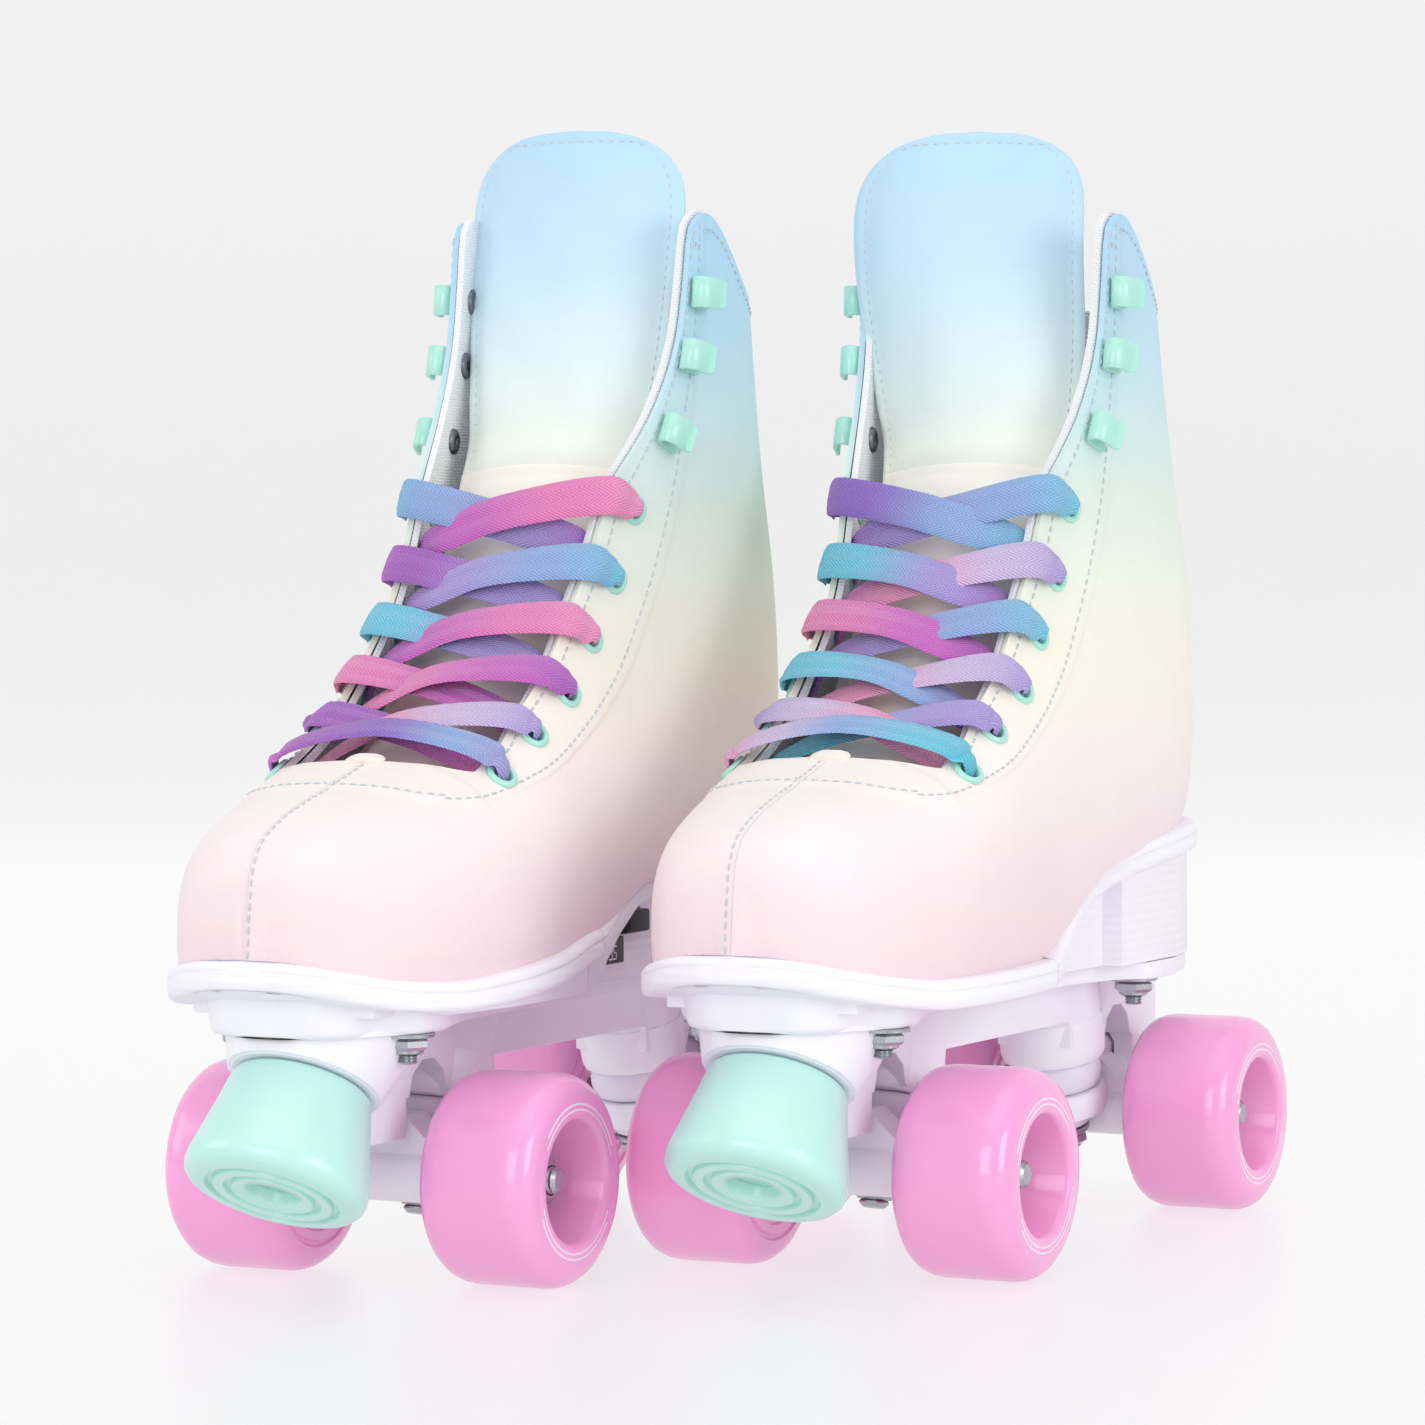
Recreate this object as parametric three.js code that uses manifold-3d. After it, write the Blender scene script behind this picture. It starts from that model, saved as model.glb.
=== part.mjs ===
// A pair of size-adjustable quad roller skates.
// Millimetres, +Z up, toes towards -Y, origin on the floor under the middle of the pair.
// Each skate is drawn as the right one, with its inner side towards +X; the left one is its mirror image.
import * as THREE from "three";
import { mergeVertices } from "three/addons/utils/BufferGeometryUtils.js";
import { ParametricGeometry } from "three/addons/geometries/ParametricGeometry.js";
import Module from "manifold-3d";

const wasm = await Module();
wasm.setup();

// ---- the pair ----
const PAIR_SPACING = 101; // between the two skates' centre lines
const PAIR_STAGGER = 60; // how far the right skate stands ahead of the left one
const GAP = 0.3; // between pieces that touch
const FAR = 400; // beyond every surface, for cutting tools

// ---- wheels and axles ----
const WHEELBASE = 152;
const TRACK = 75; // between wheel centres on one axle
const WHEEL_RADIUS = 27;
const WHEEL_WIDTH = 33;
const WHEEL_SHOULDER = 11;
const HUB_MOUTH_RADIUS = 16;
const HUB_FLOOR_RADIUS = 12;
const HUB_DEPTH = 14;
const INNER_RECESS = 1.5;
const WHEEL_SIDES = 20;
const AXLE_RADIUS = 3.5;
const AXLE_NUT_RADIUS = 6.4;
const AXLE_NUT_WIDTH = 6;
const AXLE_TIP = 2.5; // thread that stands out of the nut
const BORE_CLEARANCE = 0.4;
const ROD_SIDES = 10;
const ROUND_SIDES = 16; // bosses and rings
const HEX_SIDES = 6;

// ---- trucks: t runs from the skate's middle towards its end ----
const KINGPIN_INSET = 17; // from the axle back towards the skate's middle
const KINGPIN_T = WHEELBASE / 2 - KINGPIN_INSET;
const KINGPIN_Z = 31; // middle of the hanger's ring
const KINGPIN_TILT = 14; // degrees, the foot leans towards the axle
const KINGPIN_RADIUS = 4;
const KINGPIN_FOOT = 17; // below the ring's middle
const KINGPIN_TOP = 30; // above it
const RING_RADIUS = 13;
const RING_HEIGHT = 7;
const RING_WEB = 3; // of the ring, over the lower cushion's pocket
const RING_HOLE = 6.6;
const CUSHION_RADIUS = 12;
const CUSHION_BULGE = 0.8;
const UPPER_CUSHION = 8.6; // height
const LOWER_CUSHION_RADIUS = 8.6;
const LOWER_CUSHION = 8;
const CUSHION_SIDES = 12;
const WASHER_RADIUS = 8.2;
const WASHER_THICK = 1.5;
const KINGPIN_NUT_RADIUS = 7.4;
const KINGPIN_NUT_HEIGHT = 5;
const HANGER_HALF = 20; // half the hanger's width between the wheels
const HANGER_TUBE = 7.5; // radius round the axle
const HANGER_THICK = 11;
const HANGER_TOP_HALF = 7;
const HANGER_RISE = 15; // above the axle
const PIVOT_T = WHEELBASE / 2 + KINGPIN_INSET;
const PIVOT_Z = 45;
const PIVOT_RADIUS = 4.5;
const POCKET_CLEARANCE = 0.9; // round the lower cushion
const PIVOT_CLEARANCE = 0.8; // all round, for the stem's sway when the truck steers

// ---- plate ----
const PLATE_TOP = 70.5;
const FLANGE_THICK = 4.5;
const SPINE_HALF = 11;
const SPINE_BOTTOM = 47;
const SPINE_MIDDLE_BOTTOM = 54;
const SPINE_NOTCH = 9; // radius of the arch over the hanger
const SPINE_INNER_T = KINGPIN_T - 17; // start of the deep wall over each truck
const PIVOT_BLOCK_END = PIVOT_T + 12;
const BOSS_RADIUS = 14;
const FLANGE_OUTLINE = [ // [half-width, y] from toe to heel
    [14, -131], [25, -127], [31, -116], [31, -100], [22, -80], [19, -50],
    [19, 20], [24, 42], [32, 50], [32, 66], [26, 90], [14, 104],
];

// ---- toe stop ----
const STOP_Y = -WHEELBASE / 2 - 42; // middle of its upper face
const STOP_Z = 53;
const STOP_TILT = 30; // degrees from upright
const STOP_HEIGHT = 30;
const STOP_TOP_RADIUS = 17;
const STOP_BOTTOM_RADIUS = 23;
const STOP_RIM = 4.5;
const STOP_SIDES = 20;
const STOP_POCKET_RADIUS = 8;
const STOP_POCKET_DEPTH = 9;
const STOP_BOLT_RADIUS = 4;
const STOP_BOLT_HEAD_RADIUS = 6.5;
const STOP_BOLT_HEAD = 5;
const STOP_BOLT_GRIP = 16; // length inside the plate
const HOUSING_RADIUS = 19.5;
const HOUSING_TOP_RADIUS = 28;
const HOUSING_HEIGHT = 26;

// ---- boot ----
const BOOT_LEAN = 3; // how far the collar leans to the inner side
const LEAN_FROM_Z = 130;
const LEAN_TO_Z = 280;
const WALL = 3.5;
const TOE_WALL = 5.4; // toe box, which also carries the sliding skirt
const SIZE_TRAVEL = 20; // how far the toe draws out for the largest size
const SLEEVE_GAP = 0.4; // between the quarter and the toe box's skirt
const SKIRT_THICK = 3.7;
const BOOT_SPLIT_Y = -94; // between the toe box and the quarter
const SKIRT_LENGTH = 32;
const SKIRT_TOP = 104;
const SKIRT_ROOT = 3; // how far the skirt is let into the toe box
const BOOT_SQUARENESS = 2.6;
const BOOT_SIDES = 20;
const STATIONS = [ // crest [y, z], base or back [y, z], half-width
    { crest: [-143.5, 101], base: [-143.5, 84], half: 5 },
    { crest: [-142.4, 107], base: [-142, 76], half: 13 },
    { crest: [-138.5, 113.5], base: [-139, 68], half: 21 },
    { crest: [-130, 118.5], base: [-131, 62], half: 28.5 },
    { crest: [-117, 123], base: [-118, 60], half: 35.5 },
    { crest: [-102, 127], base: [-103, 60], half: 40.5 },
    { crest: [-88, 131.5], base: [-87, 60], half: 43 },
    { crest: [-76, 137], base: [-66, 60], half: 43.5 },
    { crest: [-65, 144.5], base: [-44, 60], half: 42.5 },
    { crest: [-56, 155], base: [-10, 64], half: 40 },
    { crest: [-50, 168], base: [40, 72], half: 38 },
    { crest: [-45, 183], base: [84, 84], half: 36 },
    { crest: [-40, 199], base: [106, 106], half: 36 },
    { crest: [-33, 217], base: [107, 134], half: 36.5 },
    { crest: [-26, 235], base: [101, 164], half: 37 },
    { crest: [-17, 257], base: [86, 205], half: 37.2 },
    { crest: [-8, 292], base: [66, 292], half: 37 },
];
const COLLAR = [ // [y, z] of the boot's top edge, from the facing to the heel
    [-60, 277], [20, 277], [28, 275], [36, 269], [44, 260], [54, 254], [66, 251], [120, 250],
];
const THROAT_EDGE = [ // [station, degrees] of the facing's front edge, from the toe up
    [6, 0], [6.45, 34], [6.9, 34.5], [8.35, 34], [9.6, 40], [10.7, 43.5], [11.75, 47], [12.75, 49], [14, 59],
    [15, 67], [16, 74],
];
// [station, degrees], lowest first
const EYELETS = [[6.9, 44], [8.35, 45], [9.6, 52], [10.7, 54], [11.75, 57], [12.75, 59]];
const EYELET_RADIUS = 3.2;
const EYELET_SIDES = 8;
const INSOLE_THICK = 4;
const INSOLE_GAP = 1.8; // between the insole's edge and the skirt
const INSOLE_FRONT = -130;
const INSOLE_BACK = 104;

// ---- sole ----
const SOLE_TOP = [ // [y, z] under the upper
    [-148, 87], [-138, 83], [-124, 80], [-108, 78], [-36, 78], [-26, 82], [-13, 91], [0, 97.5],
    [16, 101], [45, 104.5], [80, 107.5], [112, 109.5],
];
const SOLE_THICK = 7.2;
const SOLE_OUTLINE = [ // [half-width, y], toe to heel
    [0, -146], [12, -144.6], [22, -140], [30.5, -131], [37.5, -118], [42.5, -102], [44.5, -86], [44.5, -66],
    [42, -44], [37.5, -22], [35, 0], [34.5, 30], [34.5, 55], [33.5, 74], [29.5, 89], [21.5, 100], [11, 105.5], [0, 107],
];
const SOLE_SPLIT_Y = -38; // between the sliding front sole and the rear sole
const TOE_PAD_HALF = 26;
const TOE_PAD_FRONT = -128;
const TOE_PAD_BACK = -92;
const BRIDGE_HALF = 25;
const HEEL_BLOCK_FRONT = 31;
const HEEL_BLOCK_BACK = 100;
const HEEL_BLOCK_HALF = 31;
const RAIL_HALF = 18;
const RAIL_BOTTOM = 72.2;
const RAIL_THICK = 5.4;
const RAIL_LENGTH = 40;
const RAIL_CLEARANCE = 0.4;

// ---- size button ----
const BUTTON_Y = 6;
const BUTTON_Z = 86;
const BUTTON_LENGTH = 12;
const BUTTON_HEIGHT = 6;
const BUTTON_DEPTH = 7;
const BUTTON_PROUD = 3.4;
const BUTTON_TRAVEL = 3;
const BUTTON_CLEARANCE = 0.4;

// ---- tongue and laces ----
const TONGUE_PATH = [ // [y, z] of the front face's middle
    [-84, 117], [-66, 128], [-48, 141], [-33, 155], [-20, 171], [-8, 190], [1, 208], [9, 228], [18, 252], [26, 277],
    [30, 299],
];
const TONGUE_HALF = [20, 23, 24, 25, 25.5, 25.5, 27, 29, 30.5, 31, 27];
const TONGUE_BOW = 7; // the sides lie this far behind the middle
const TONGUE_THICK = 6;
const TONGUE_FOLD = 6; // index of the path point where the free top starts
const LACE_RADIUS = 1.2;
const LACE_SIDES = 6;
const LACE_STANDOFF = 2.2; // lace centre to the facing's skin
const LACE_INSIDE = 2.7; // lace centre behind the facing's inner side
const LACE_LIFT = 3.4; // the same over the facing's front edge
const LACE_CROSSING = 1.9; // half the height between two crossing strands
const LACE_BOW = 5.2; // strands rise this far over the tongue

const rad = THREE.MathUtils.degToRad;
const vec = (x, y, z) => new THREE.Vector3(x, y, z);

// ================= solids =================

function toSolid(geometry) {
    const bare = geometry.clone();
    bare.deleteAttribute("normal");
    bare.deleteAttribute("uv");
    const merged = mergeVertices(bare, 1e-4);
    const corners = merged.index.array;
    const triangles = [];
    for (let i = 0; i < corners.length; i += 3) {
        const [a, b, c] = corners.slice(i, i + 3);
        if (a !== b && b !== c && c !== a) triangles.push(a, b, c);
    }
    return new wasm.Manifold(new wasm.Mesh({
        numProp: 3,
        vertProperties: new Float32Array(merged.attributes.position.array),
        triVerts: new Uint32Array(triangles),
    }));
}

function toGeometry(solid) {
    const mesh = solid.getMesh();
    const geometry = new THREE.BufferGeometry();
    geometry.setAttribute("position", new THREE.BufferAttribute(mesh.vertProperties, 3));
    geometry.setIndex(new THREE.BufferAttribute(mesh.triVerts, 1));
    geometry.computeVertexNormals();
    return geometry;
}

const join = (...solids) => solids.reduce((sum, solid) => sum.add(solid));
const cut = (body, ...tools) => tools.reduce((rest, tool) => rest.subtract(tool), body);

// Prism of an outline along an axis; the outline's pairs are (y, z), (x, z) or (x, y) for axis x, y or z.
const PRISM_AXES = {
    x: new THREE.Matrix4().makeBasis(vec(0, 1, 0), vec(0, 0, 1), vec(1, 0, 0)),
    y: new THREE.Matrix4().makeBasis(vec(1, 0, 0), vec(0, 0, 1), vec(0, -1, 0)),
    z: new THREE.Matrix4(),
};

function prism(axis, outline, from, to) {
    const shape = new THREE.Shape(outline.map(([a, b]) => new THREE.Vector2(a, b)));
    const geometry = new THREE.ExtrudeGeometry(shape, { depth: to - from, bevelEnabled: false });
    geometry.translate(0, 0, axis === "y" ? -to : from);
    return toSolid(geometry.applyMatrix4(PRISM_AXES[axis]));
}

function box(x0, x1, y0, y1, z0, z1) {
    return prism("z", [[x0, y0], [x1, y0], [x1, y1], [x0, y1]], z0, z1);
}

// Everything between two places along the skate, and optionally two heights.
const slab = (y0, y1, z0 = -FAR, z1 = FAR) => box(-FAR, FAR, y0, y1, z0, z1);

// Cone or cylinder between two heights on the Z axis, given by its radii to the flats.
function post(lowRadius, highRadius, low, high, sides) {
    const toCorner = 1 / Math.cos(Math.PI / sides);
    const geometry = new THREE.CylinderGeometry(highRadius * toCorner, lowRadius * toCorner, high - low, sides);
    return toSolid(geometry.rotateX(Math.PI / 2).translate(0, 0, (low + high) / 2));
}

const rod = (radius, low, high) => post(radius, radius, low, high, ROD_SIDES);

// Turned body about Z from a closed profile of [radius, z].
function turned(profile, sides) {
    const toCorner = 1 / Math.cos(Math.PI / sides);
    const corners = profile.map(([r, z]) => new THREE.Vector2(r * toCorner, z));
    if (THREE.ShapeUtils.area(corners) < 0) corners.reverse();
    return toSolid(new THREE.LatheGeometry([...corners, corners[0]], sides).rotateX(Math.PI / 2));
}

function moved(solid, { turnX = 0, turnY = 0, turnZ = 0, to = [0, 0, 0] }) {
    return solid.rotate([turnX, turnY, turnZ]).translate(to);
}

const symmetric = (half) => [...half, ...half.toReversed().map(([x, y]) => [-x, y]).filter(([x]) => x !== 0)];

// Closed skin through rings of equal length, with a flat end at each side.
function loft(rings) {
    const middles = [rings[0], rings.at(-1)].map((ring) => ring
        .reduce((sum, p) => sum.add(p), vec(0, 0, 0)).divideScalar(ring.length));
    const rows = rings.length + 1;
    const sides = rings[0].length;
    return toSolid(new ParametricGeometry((u, v, target) => {
        const row = Math.round(v * rows);
        const column = Math.round(u * sides) % sides;
        if (row === 0) target.copy(middles[0]);
        else if (row === rows) target.copy(middles[1]);
        else target.copy(rings[row - 1][column]);
    }, sides, rows));
}

// ================= the boot's last =================

const CREST = new THREE.CatmullRomCurve3(STATIONS.map(({ crest: [y, z], half }) => vec(half, y, z)));
const BASE = new THREE.CatmullRomCurve3(STATIONS.map(({ base: [y, z] }) => vec(0, y, z)));
const power = (value) => Math.sign(value) * Math.abs(value) ** (2 / BOOT_SQUARENESS);

// Point on the boot's skin: station counts along the boot, angle goes round from the crest towards +X.
function lastPoint(station, degrees, inset = 0) {
    const share = station / (STATIONS.length - 1);
    const crest = CREST.getPoint(share);
    const down = BASE.getPoint(share);
    const half = crest.x;
    crest.x = 0;
    down.sub(crest);
    const depth = down.length() / 2;
    const along = depth - (depth - inset) * power(Math.cos(rad(degrees)));
    const point = crest.addScaledVector(down.normalize(), along);
    const lean = BOOT_LEAN * THREE.MathUtils.smoothstep(point.z, LEAN_FROM_Z, LEAN_TO_Z);
    return point.setX(lean + (half - inset) * power(Math.sin(rad(degrees))));
}

function lastNormal(station, degrees) {
    const round = lastPoint(station, degrees + 2).sub(lastPoint(station, degrees - 2));
    const along = lastPoint(station + 0.2, degrees).sub(lastPoint(station - 0.2, degrees));
    const normal = along.cross(round).normalize();
    return normal.x * Math.sign(degrees) < 0 ? normal.negate() : normal;
}

const offSkin = (station, degrees, out) =>
    lastPoint(station, degrees).addScaledVector(lastNormal(station, degrees), out);

function lastSolid(inset, firstStation = 0) {
    const rings = [];
    for (let station = firstStation; station < STATIONS.length; station++) {
        const ring = [];
        for (let i = 0; i < BOOT_SIDES; i++) ring.push(lastPoint(station, 360 * (i + 0.5) / BOOT_SIDES, inset));
        rings.push(ring);
    }
    return loft(rings);
}

const lastOuter = lastSolid(0);
const lastInner = lastSolid(WALL, 2);
const skirtInset = WALL + SLEEVE_GAP + SKIRT_THICK;

// Everything between the sole's top and the collar, as a side outline.
const soleTopFrom = (lift) => SOLE_TOP.map(([y, z]) => [y, z + lift]);
const bootTrim = prism("x", [...soleTopFrom(GAP), ...COLLAR.toReversed()], -FAR, FAR);

// The throat is everything ahead of the facings' front edge, seen from the side.
function throatOutline() {
    const edge = THROAT_EDGE.map(([station, degrees]) => lastPoint(station, degrees)).map((p) => [p.y, p.z]);
    const low = edge[0][1];
    const high = edge.at(-1)[1];
    return [[-FAR, low], ...edge, [edge.at(-1)[0], high + FAR], [-FAR, high + FAR]];
}

function edgeDegrees(station) {
    const next = THROAT_EDGE.findIndex(([s]) => s >= station);
    const [s1, a1] = THROAT_EDGE[next];
    const [s0, a0] = THROAT_EDGE[Math.max(next - 1, 0)];
    return s1 === s0 ? a1 : THREE.MathUtils.mapLinear(station, s0, s1, a0, a1);
}

function eyeletHole(station, degrees) {
    const aim = new THREE.Quaternion().setFromUnitVectors(vec(0, 0, 1), lastNormal(station, degrees));
    const at = lastPoint(station, degrees);
    const geometry = new THREE.CylinderGeometry(EYELET_RADIUS, EYELET_RADIUS, 6 * WALL, EYELET_SIDES);
    geometry.rotateX(Math.PI / 2).applyQuaternion(aim).translate(at.x, at.y, at.z);
    return toSolid(geometry);
}

function makeUpper() {
    const shell = cut(lastOuter, lastInner).intersect(bootTrim);
    const quarter = shell.intersect(slab(BOOT_SPLIT_Y, FAR));
    const throat = prism("x", throatOutline(), -FAR, FAR);
    const holes = EYELETS.flatMap(([station, degrees]) => [degrees, -degrees].map((a) => eyeletHole(station, a)));
    return cut(quarter, throat, ...holes);
}

// The skirt slides forward in the quarter, so it fits the quarter's mouth and all that it passes on the way.
function makeSkirt() {
    const fit = lastSolid(WALL + SLEEVE_GAP, 2);
    const mouth = fit.rotate([90, 0, 0]).slice(BOOT_SPLIT_Y).extrude(SIZE_TRAVEL + SKIRT_ROOT)
        .translate([0, 0, BOOT_SPLIT_Y - SKIRT_ROOT]).rotate([-90, 0, 0]);
    const drawn = fit.translate([0, SIZE_TRAVEL, 0]).intersect(slab(BOOT_SPLIT_Y + SIZE_TRAVEL, FAR));
    const reach = slab(BOOT_SPLIT_Y - SKIRT_ROOT, BOOT_SPLIT_Y + SKIRT_LENGTH, 0, SKIRT_TOP);
    return cut(fit.intersect(join(mouth, drawn)), lastSolid(skirtInset, 2)).intersect(reach);
}

function makeToeBox() {
    const cap = cut(lastOuter, lastSolid(TOE_WALL, 2)).intersect(slab(-FAR, BOOT_SPLIT_Y - GAP));
    return join(cap, makeSkirt()).intersect(bootTrim);
}

function makeInsole() {
    const layer = prism("x", [...soleTopFrom(GAP), ...soleTopFrom(GAP + INSOLE_THICK).toReversed()], -FAR, FAR);
    return lastSolid(skirtInset + INSOLE_GAP, 3).intersect(layer).intersect(slab(INSOLE_FRONT, INSOLE_BACK));
}

// ================= sole =================

const soleBlank = prism("z", symmetric(SOLE_OUTLINE), 0, FAR);
const soleBand = prism("x", [...soleTopFrom(0), ...soleTopFrom(-SOLE_THICK).toReversed()], -FAR, FAR);
const soleSheet = soleBlank.intersect(soleBand);
const soleFoot = PLATE_TOP + GAP;
const soleUnder = prism("x", [...soleTopFrom(-SOLE_THICK / 2), [SOLE_TOP.at(-1)[0], soleFoot], [SOLE_TOP[0][0], soleFoot]],
    -FAR, FAR);

function makeToeSole() {
    const front = soleSheet.intersect(slab(-FAR, SOLE_SPLIT_Y - GAP));
    const pad = box(-TOE_PAD_HALF, TOE_PAD_HALF, TOE_PAD_FRONT, TOE_PAD_BACK, 0, FAR).intersect(soleUnder);
    const rail = box(-RAIL_HALF, RAIL_HALF, SOLE_SPLIT_Y - RAIL_LENGTH / 4, SOLE_SPLIT_Y + RAIL_LENGTH,
        RAIL_BOTTOM, RAIL_BOTTOM + RAIL_THICK);
    return join(front, pad, rail);
}

function makeHeelSole() {
    const rear = soleSheet.intersect(slab(SOLE_SPLIT_Y, FAR));
    const bridge = box(-BRIDGE_HALF, BRIDGE_HALF, SOLE_SPLIT_Y, HEEL_BLOCK_FRONT + 5, 0, FAR).intersect(soleUnder);
    const blockOutline = symmetric([[HEEL_BLOCK_HALF, HEEL_BLOCK_FRONT], [HEEL_BLOCK_HALF, 72],
        [27, HEEL_BLOCK_BACK - 11], [14, HEEL_BLOCK_BACK]]);
    const block = prism("z", blockOutline, 0, FAR).intersect(soleUnder);
    const slotHalf = RAIL_HALF + RAIL_CLEARANCE;
    const slot = box(-slotHalf, slotHalf, SOLE_SPLIT_Y - 5, SOLE_SPLIT_Y + RAIL_LENGTH + 3,
        RAIL_BOTTOM - RAIL_CLEARANCE, RAIL_BOTTOM + RAIL_THICK + RAIL_CLEARANCE);
    const c = BUTTON_CLEARANCE;
    const pocketFloor = BRIDGE_HALF + BUTTON_PROUD - BUTTON_DEPTH - BUTTON_TRAVEL - c;
    const pocket = box(pocketFloor, FAR, BUTTON_Y - BUTTON_LENGTH / 2 - c, BUTTON_Y + BUTTON_LENGTH / 2 + c,
        BUTTON_Z - BUTTON_HEIGHT / 2 - c, BUTTON_Z + BUTTON_HEIGHT / 2 + c);
    return cut(join(rear, bridge, block), slot, pocket);
}

function makeSizeButton() {
    const face = BRIDGE_HALF + BUTTON_PROUD;
    return box(face - BUTTON_DEPTH, face, BUTTON_Y - BUTTON_LENGTH / 2, BUTTON_Y + BUTTON_LENGTH / 2,
        BUTTON_Z - BUTTON_HEIGHT / 2, BUTTON_Z + BUTTON_HEIGHT / 2);
}

// ================= plate =================

const onKingpin = (solid) => moved(solid, { turnX: KINGPIN_TILT, to: [0, KINGPIN_T, KINGPIN_Z] });
const onStop = (solid) => moved(solid, { turnX: -STOP_TILT, to: [0, STOP_Y, STOP_Z] });
const bothEnds = (solid) => [solid, solid.rotate([0, 0, 180])];
const steerAxis = vec(0, PIVOT_T - KINGPIN_T, PIVOT_Z - KINGPIN_Z).normalize();
const steerTurn = THREE.MathUtils.radToDeg(Math.atan2(-steerAxis.y, steerAxis.z));
const bossFace = RING_HEIGHT / 2 + UPPER_CUSHION + 2 * GAP;
const axleT = WHEELBASE / 2;

// A rod on the steering line, from one distance past the ring's middle to another.
function steerRod(radius, from, to) {
    return moved(rod(radius, from, to), { turnX: steerTurn, to: [0, KINGPIN_T, KINGPIN_Z] });
}

const pivotReach = Math.hypot(PIVOT_T - KINGPIN_T, PIVOT_Z - KINGPIN_Z);
const pivotTip = pivotReach + 3;

function makePlate() {
    const below = slab(-FAR, FAR, -FAR, PLATE_TOP);
    const flange = prism("z", symmetric(FLANGE_OUTLINE), PLATE_TOP - FLANGE_THICK, PLATE_TOP);
    const reach = SPINE_INNER_T + 1;
    const middle = box(-SPINE_HALF, SPINE_HALF, -reach, reach, SPINE_MIDDLE_BOTTOM, PLATE_TOP - 1);
    const wall = box(-SPINE_HALF, SPINE_HALF, SPINE_INNER_T, PIVOT_BLOCK_END, SPINE_BOTTOM, PLATE_TOP - 1);
    const block = box(-SPINE_HALF, SPINE_HALF, PIVOT_T - 6, PIVOT_BLOCK_END, PIVOT_Z - 8, PLATE_TOP - 1);
    const notch = moved(rod(SPINE_NOTCH, -FAR, FAR), { turnY: 90, to: [0, axleT, SPINE_BOTTOM] });
    const boss = onKingpin(post(BOSS_RADIUS, BOSS_RADIUS + 1, bossFace, 45, ROUND_SIDES)).intersect(below);
    const bore = onKingpin(rod(KINGPIN_RADIUS + BORE_CLEARANCE, 0, KINGPIN_TOP + 2));
    const seat = onKingpin(post(BOSS_RADIUS + 3, BOSS_RADIUS + 3, -20, bossFace, ROUND_SIDES));
    const cup = steerRod(PIVOT_RADIUS + PIVOT_CLEARANCE, 0, pivotTip + 1.5);
    const end = cut(join(wall, block, boss), notch, bore, seat, cup);
    const housing = onStop(post(HOUSING_RADIUS, HOUSING_TOP_RADIUS, GAP, HOUSING_HEIGHT, STOP_SIDES)).intersect(below);
    const boltHole = onStop(rod(STOP_BOLT_RADIUS + BORE_CLEARANCE, -1, STOP_BOLT_GRIP + 1));
    const stopRoom = onStop(post(HOUSING_TOP_RADIUS, HOUSING_RADIUS, -2 * STOP_HEIGHT, GAP, STOP_SIDES));
    const frontCup = cup.rotate([0, 0, 180]);
    return cut(join(flange, middle, ...bothEnds(end), housing), stopRoom, boltHole, frontCup);
}

// ================= toe stop =================

function makeToeStop() {
    const rim = STOP_BOTTOM_RADIUS;
    const low = -STOP_HEIGHT;
    return onStop(turned([
        [STOP_BOLT_RADIUS + BORE_CLEARANCE, 0], [STOP_TOP_RADIUS, 0], [rim - 0.6, low + STOP_RIM],
        [rim - STOP_RIM * 0.3, low + STOP_RIM * 0.3], [rim - STOP_RIM, low],
        [STOP_POCKET_RADIUS, low], [STOP_POCKET_RADIUS, low + STOP_POCKET_DEPTH],
        [STOP_BOLT_RADIUS + BORE_CLEARANCE, low + STOP_POCKET_DEPTH],
    ], STOP_SIDES));
}

function makeStopBolt() {
    const seat = -STOP_HEIGHT + STOP_POCKET_DEPTH - GAP;
    const head = post(STOP_BOLT_HEAD_RADIUS, STOP_BOLT_HEAD_RADIUS, seat - STOP_BOLT_HEAD, seat, HEX_SIDES);
    return onStop(join(head, rod(STOP_BOLT_RADIUS, seat - 1, STOP_BOLT_GRIP)));
}

// ================= trucks, drawn for the heel end =================

const cushionBelly = CUSHION_RADIUS + CUSHION_BULGE;

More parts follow.
